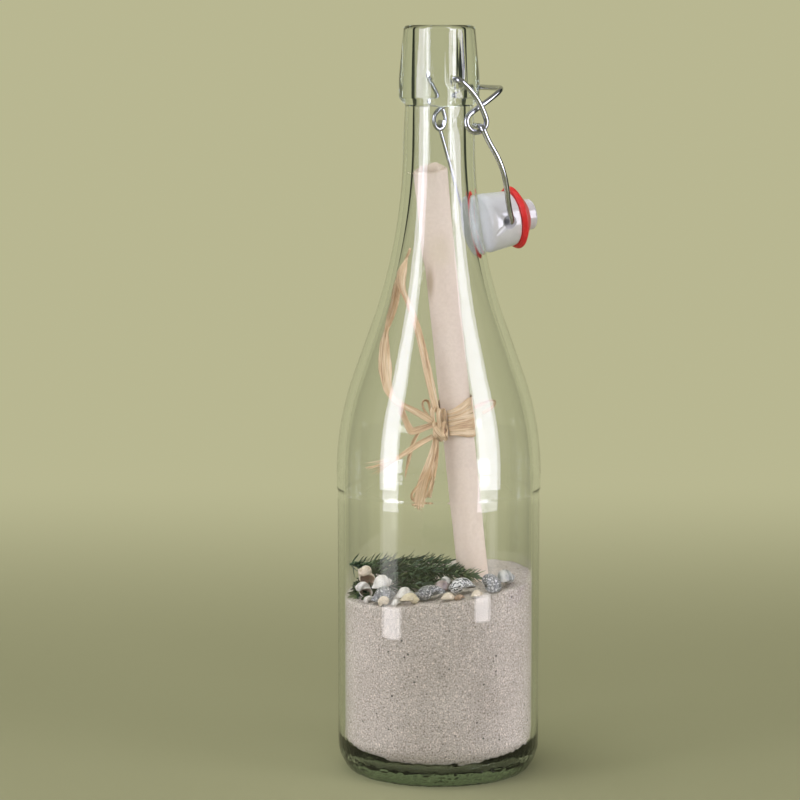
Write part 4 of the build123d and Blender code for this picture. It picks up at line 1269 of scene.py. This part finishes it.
def sweepMaterial():
    # Lit as paper is, and towards the back an even tone, which rays through glass and off metal see as well.
    s = stage
    material, tree, shader = newMaterial("sagePaper", {"Roughness": 0.9, "Specular IOR Level": 0.1})
    pale = tuple(v * s["paperMottle"] for v in s["paper"])
    setColour(tree, shader, mixColour(tree, objectNoise(tree, 3, 3, 0.5), s["paper"], pale))
    path = addNode(tree, "LightPath", {}).outputs
    direct = calculate(tree, "MAXIMUM", path["Is Camera Ray"], path["Is Glossy Ray"])
    direct = calculate(tree, "MAXIMUM", direct, path["Is Transmission Ray"])
    rise = easeBetween(tree, split(tree, objectCoords(tree))["Y"], s["litStart"], s["litEnd"])
    lit = addNode(tree, "Emission", {"Color": s["lit"]})
    factor = calculate(tree, "MULTIPLY", rise, direct)
    mixShaders(tree, factor, shader.outputs["BSDF"], lit.outputs["Emission"])
    return material


stagePiece("sweep", *sweepMesh(), sweepMaterial())

for name, (azimuth, spread, away, low, high, radiance, use) in stage["lamps"].items():
    lamp = bpy.data.lights.new(name, "AREA")
    lamp.shape = "RECTANGLE"
    lamp.size = 2 * away * tan(radians(spread / 2))
    lamp.size_y = high - low
    lamp.energy = radiance * pi * lamp.size * lamp.size_y
    lamp.color = stage["shineTint" if name.endswith("Shine") else "tint"]
    holder = placed(name, lamp)
    turn = radians(azimuth)
    holder.location = (away * sin(turn), -away * cos(turn), (high + low) / 2)
    holder.rotation_euler = (radians(90), 0, turn)
    holder.visible_camera = False
    holder.visible_diffuse = use != "gloss"
    holder.visible_glossy = use != "soft"
    holder.visible_transmission = use != "soft"

flagSkin, tree, shader = newMaterial("flagCloth", {"Roughness": 0.95})
pale = tuple(v * stage["flagMottle"] for v in stage["flagTone"])
setColour(tree, shader, mixColour(tree, objectNoise(tree, 40), stage["flagTone"], pale))
for side in (-1, 1):
    # a dark cloth beside the bottle, which only shows as the dark line along the edge of glass and wire
    x, near, far = side * stage["flagOut"], stage["flagFrom"], stage["flagTo"]
    low, high = stage["flagBottom"], stage["flagTop"]
    corners = [(x, near, low), (x, far, low), (x, far, high), (x, near, high)]
    flag = stagePiece("flag", corners, [(0, 1, 2, 3)], flagSkin)
    flag.visible_camera = False
    flag.visible_diffuse = False
    flag.visible_shadow = False

above = bpy.data.lights.new("topBox", "AREA")
above.shape = "SQUARE"
above.size = stage["topSize"]
above.energy = stage["topRadiance"] * pi * above.size ** 2
holder = placed("topBox", above)
holder.location = stage["topPlace"]
holder.rotation_euler = (Vector(stage["topPlace"]).to_track_quat("Z", "Y")).to_euler()
holder.visible_camera = False
holder.visible_glossy = False

world = bpy.data.worlds.new("studio")
bpy.context.scene.world = world
world.use_nodes = True
tree = world.node_tree
around = tree.nodes["Background"]
fill(tree, around.inputs["Color"], stage["world"])
fill(tree, around.inputs["Strength"], stage["fill"])
beyond = addNode(tree, "Background", {"Color": stage["beyond"]})
path = addNode(tree, "LightPath", {})
mixShaders(tree, path.outputs["Is Camera Ray"], around.outputs[0], beyond.outputs[0], "World Output")
bpy.context.scene.view_settings.view_transform = "Standard"
print("stage lit")
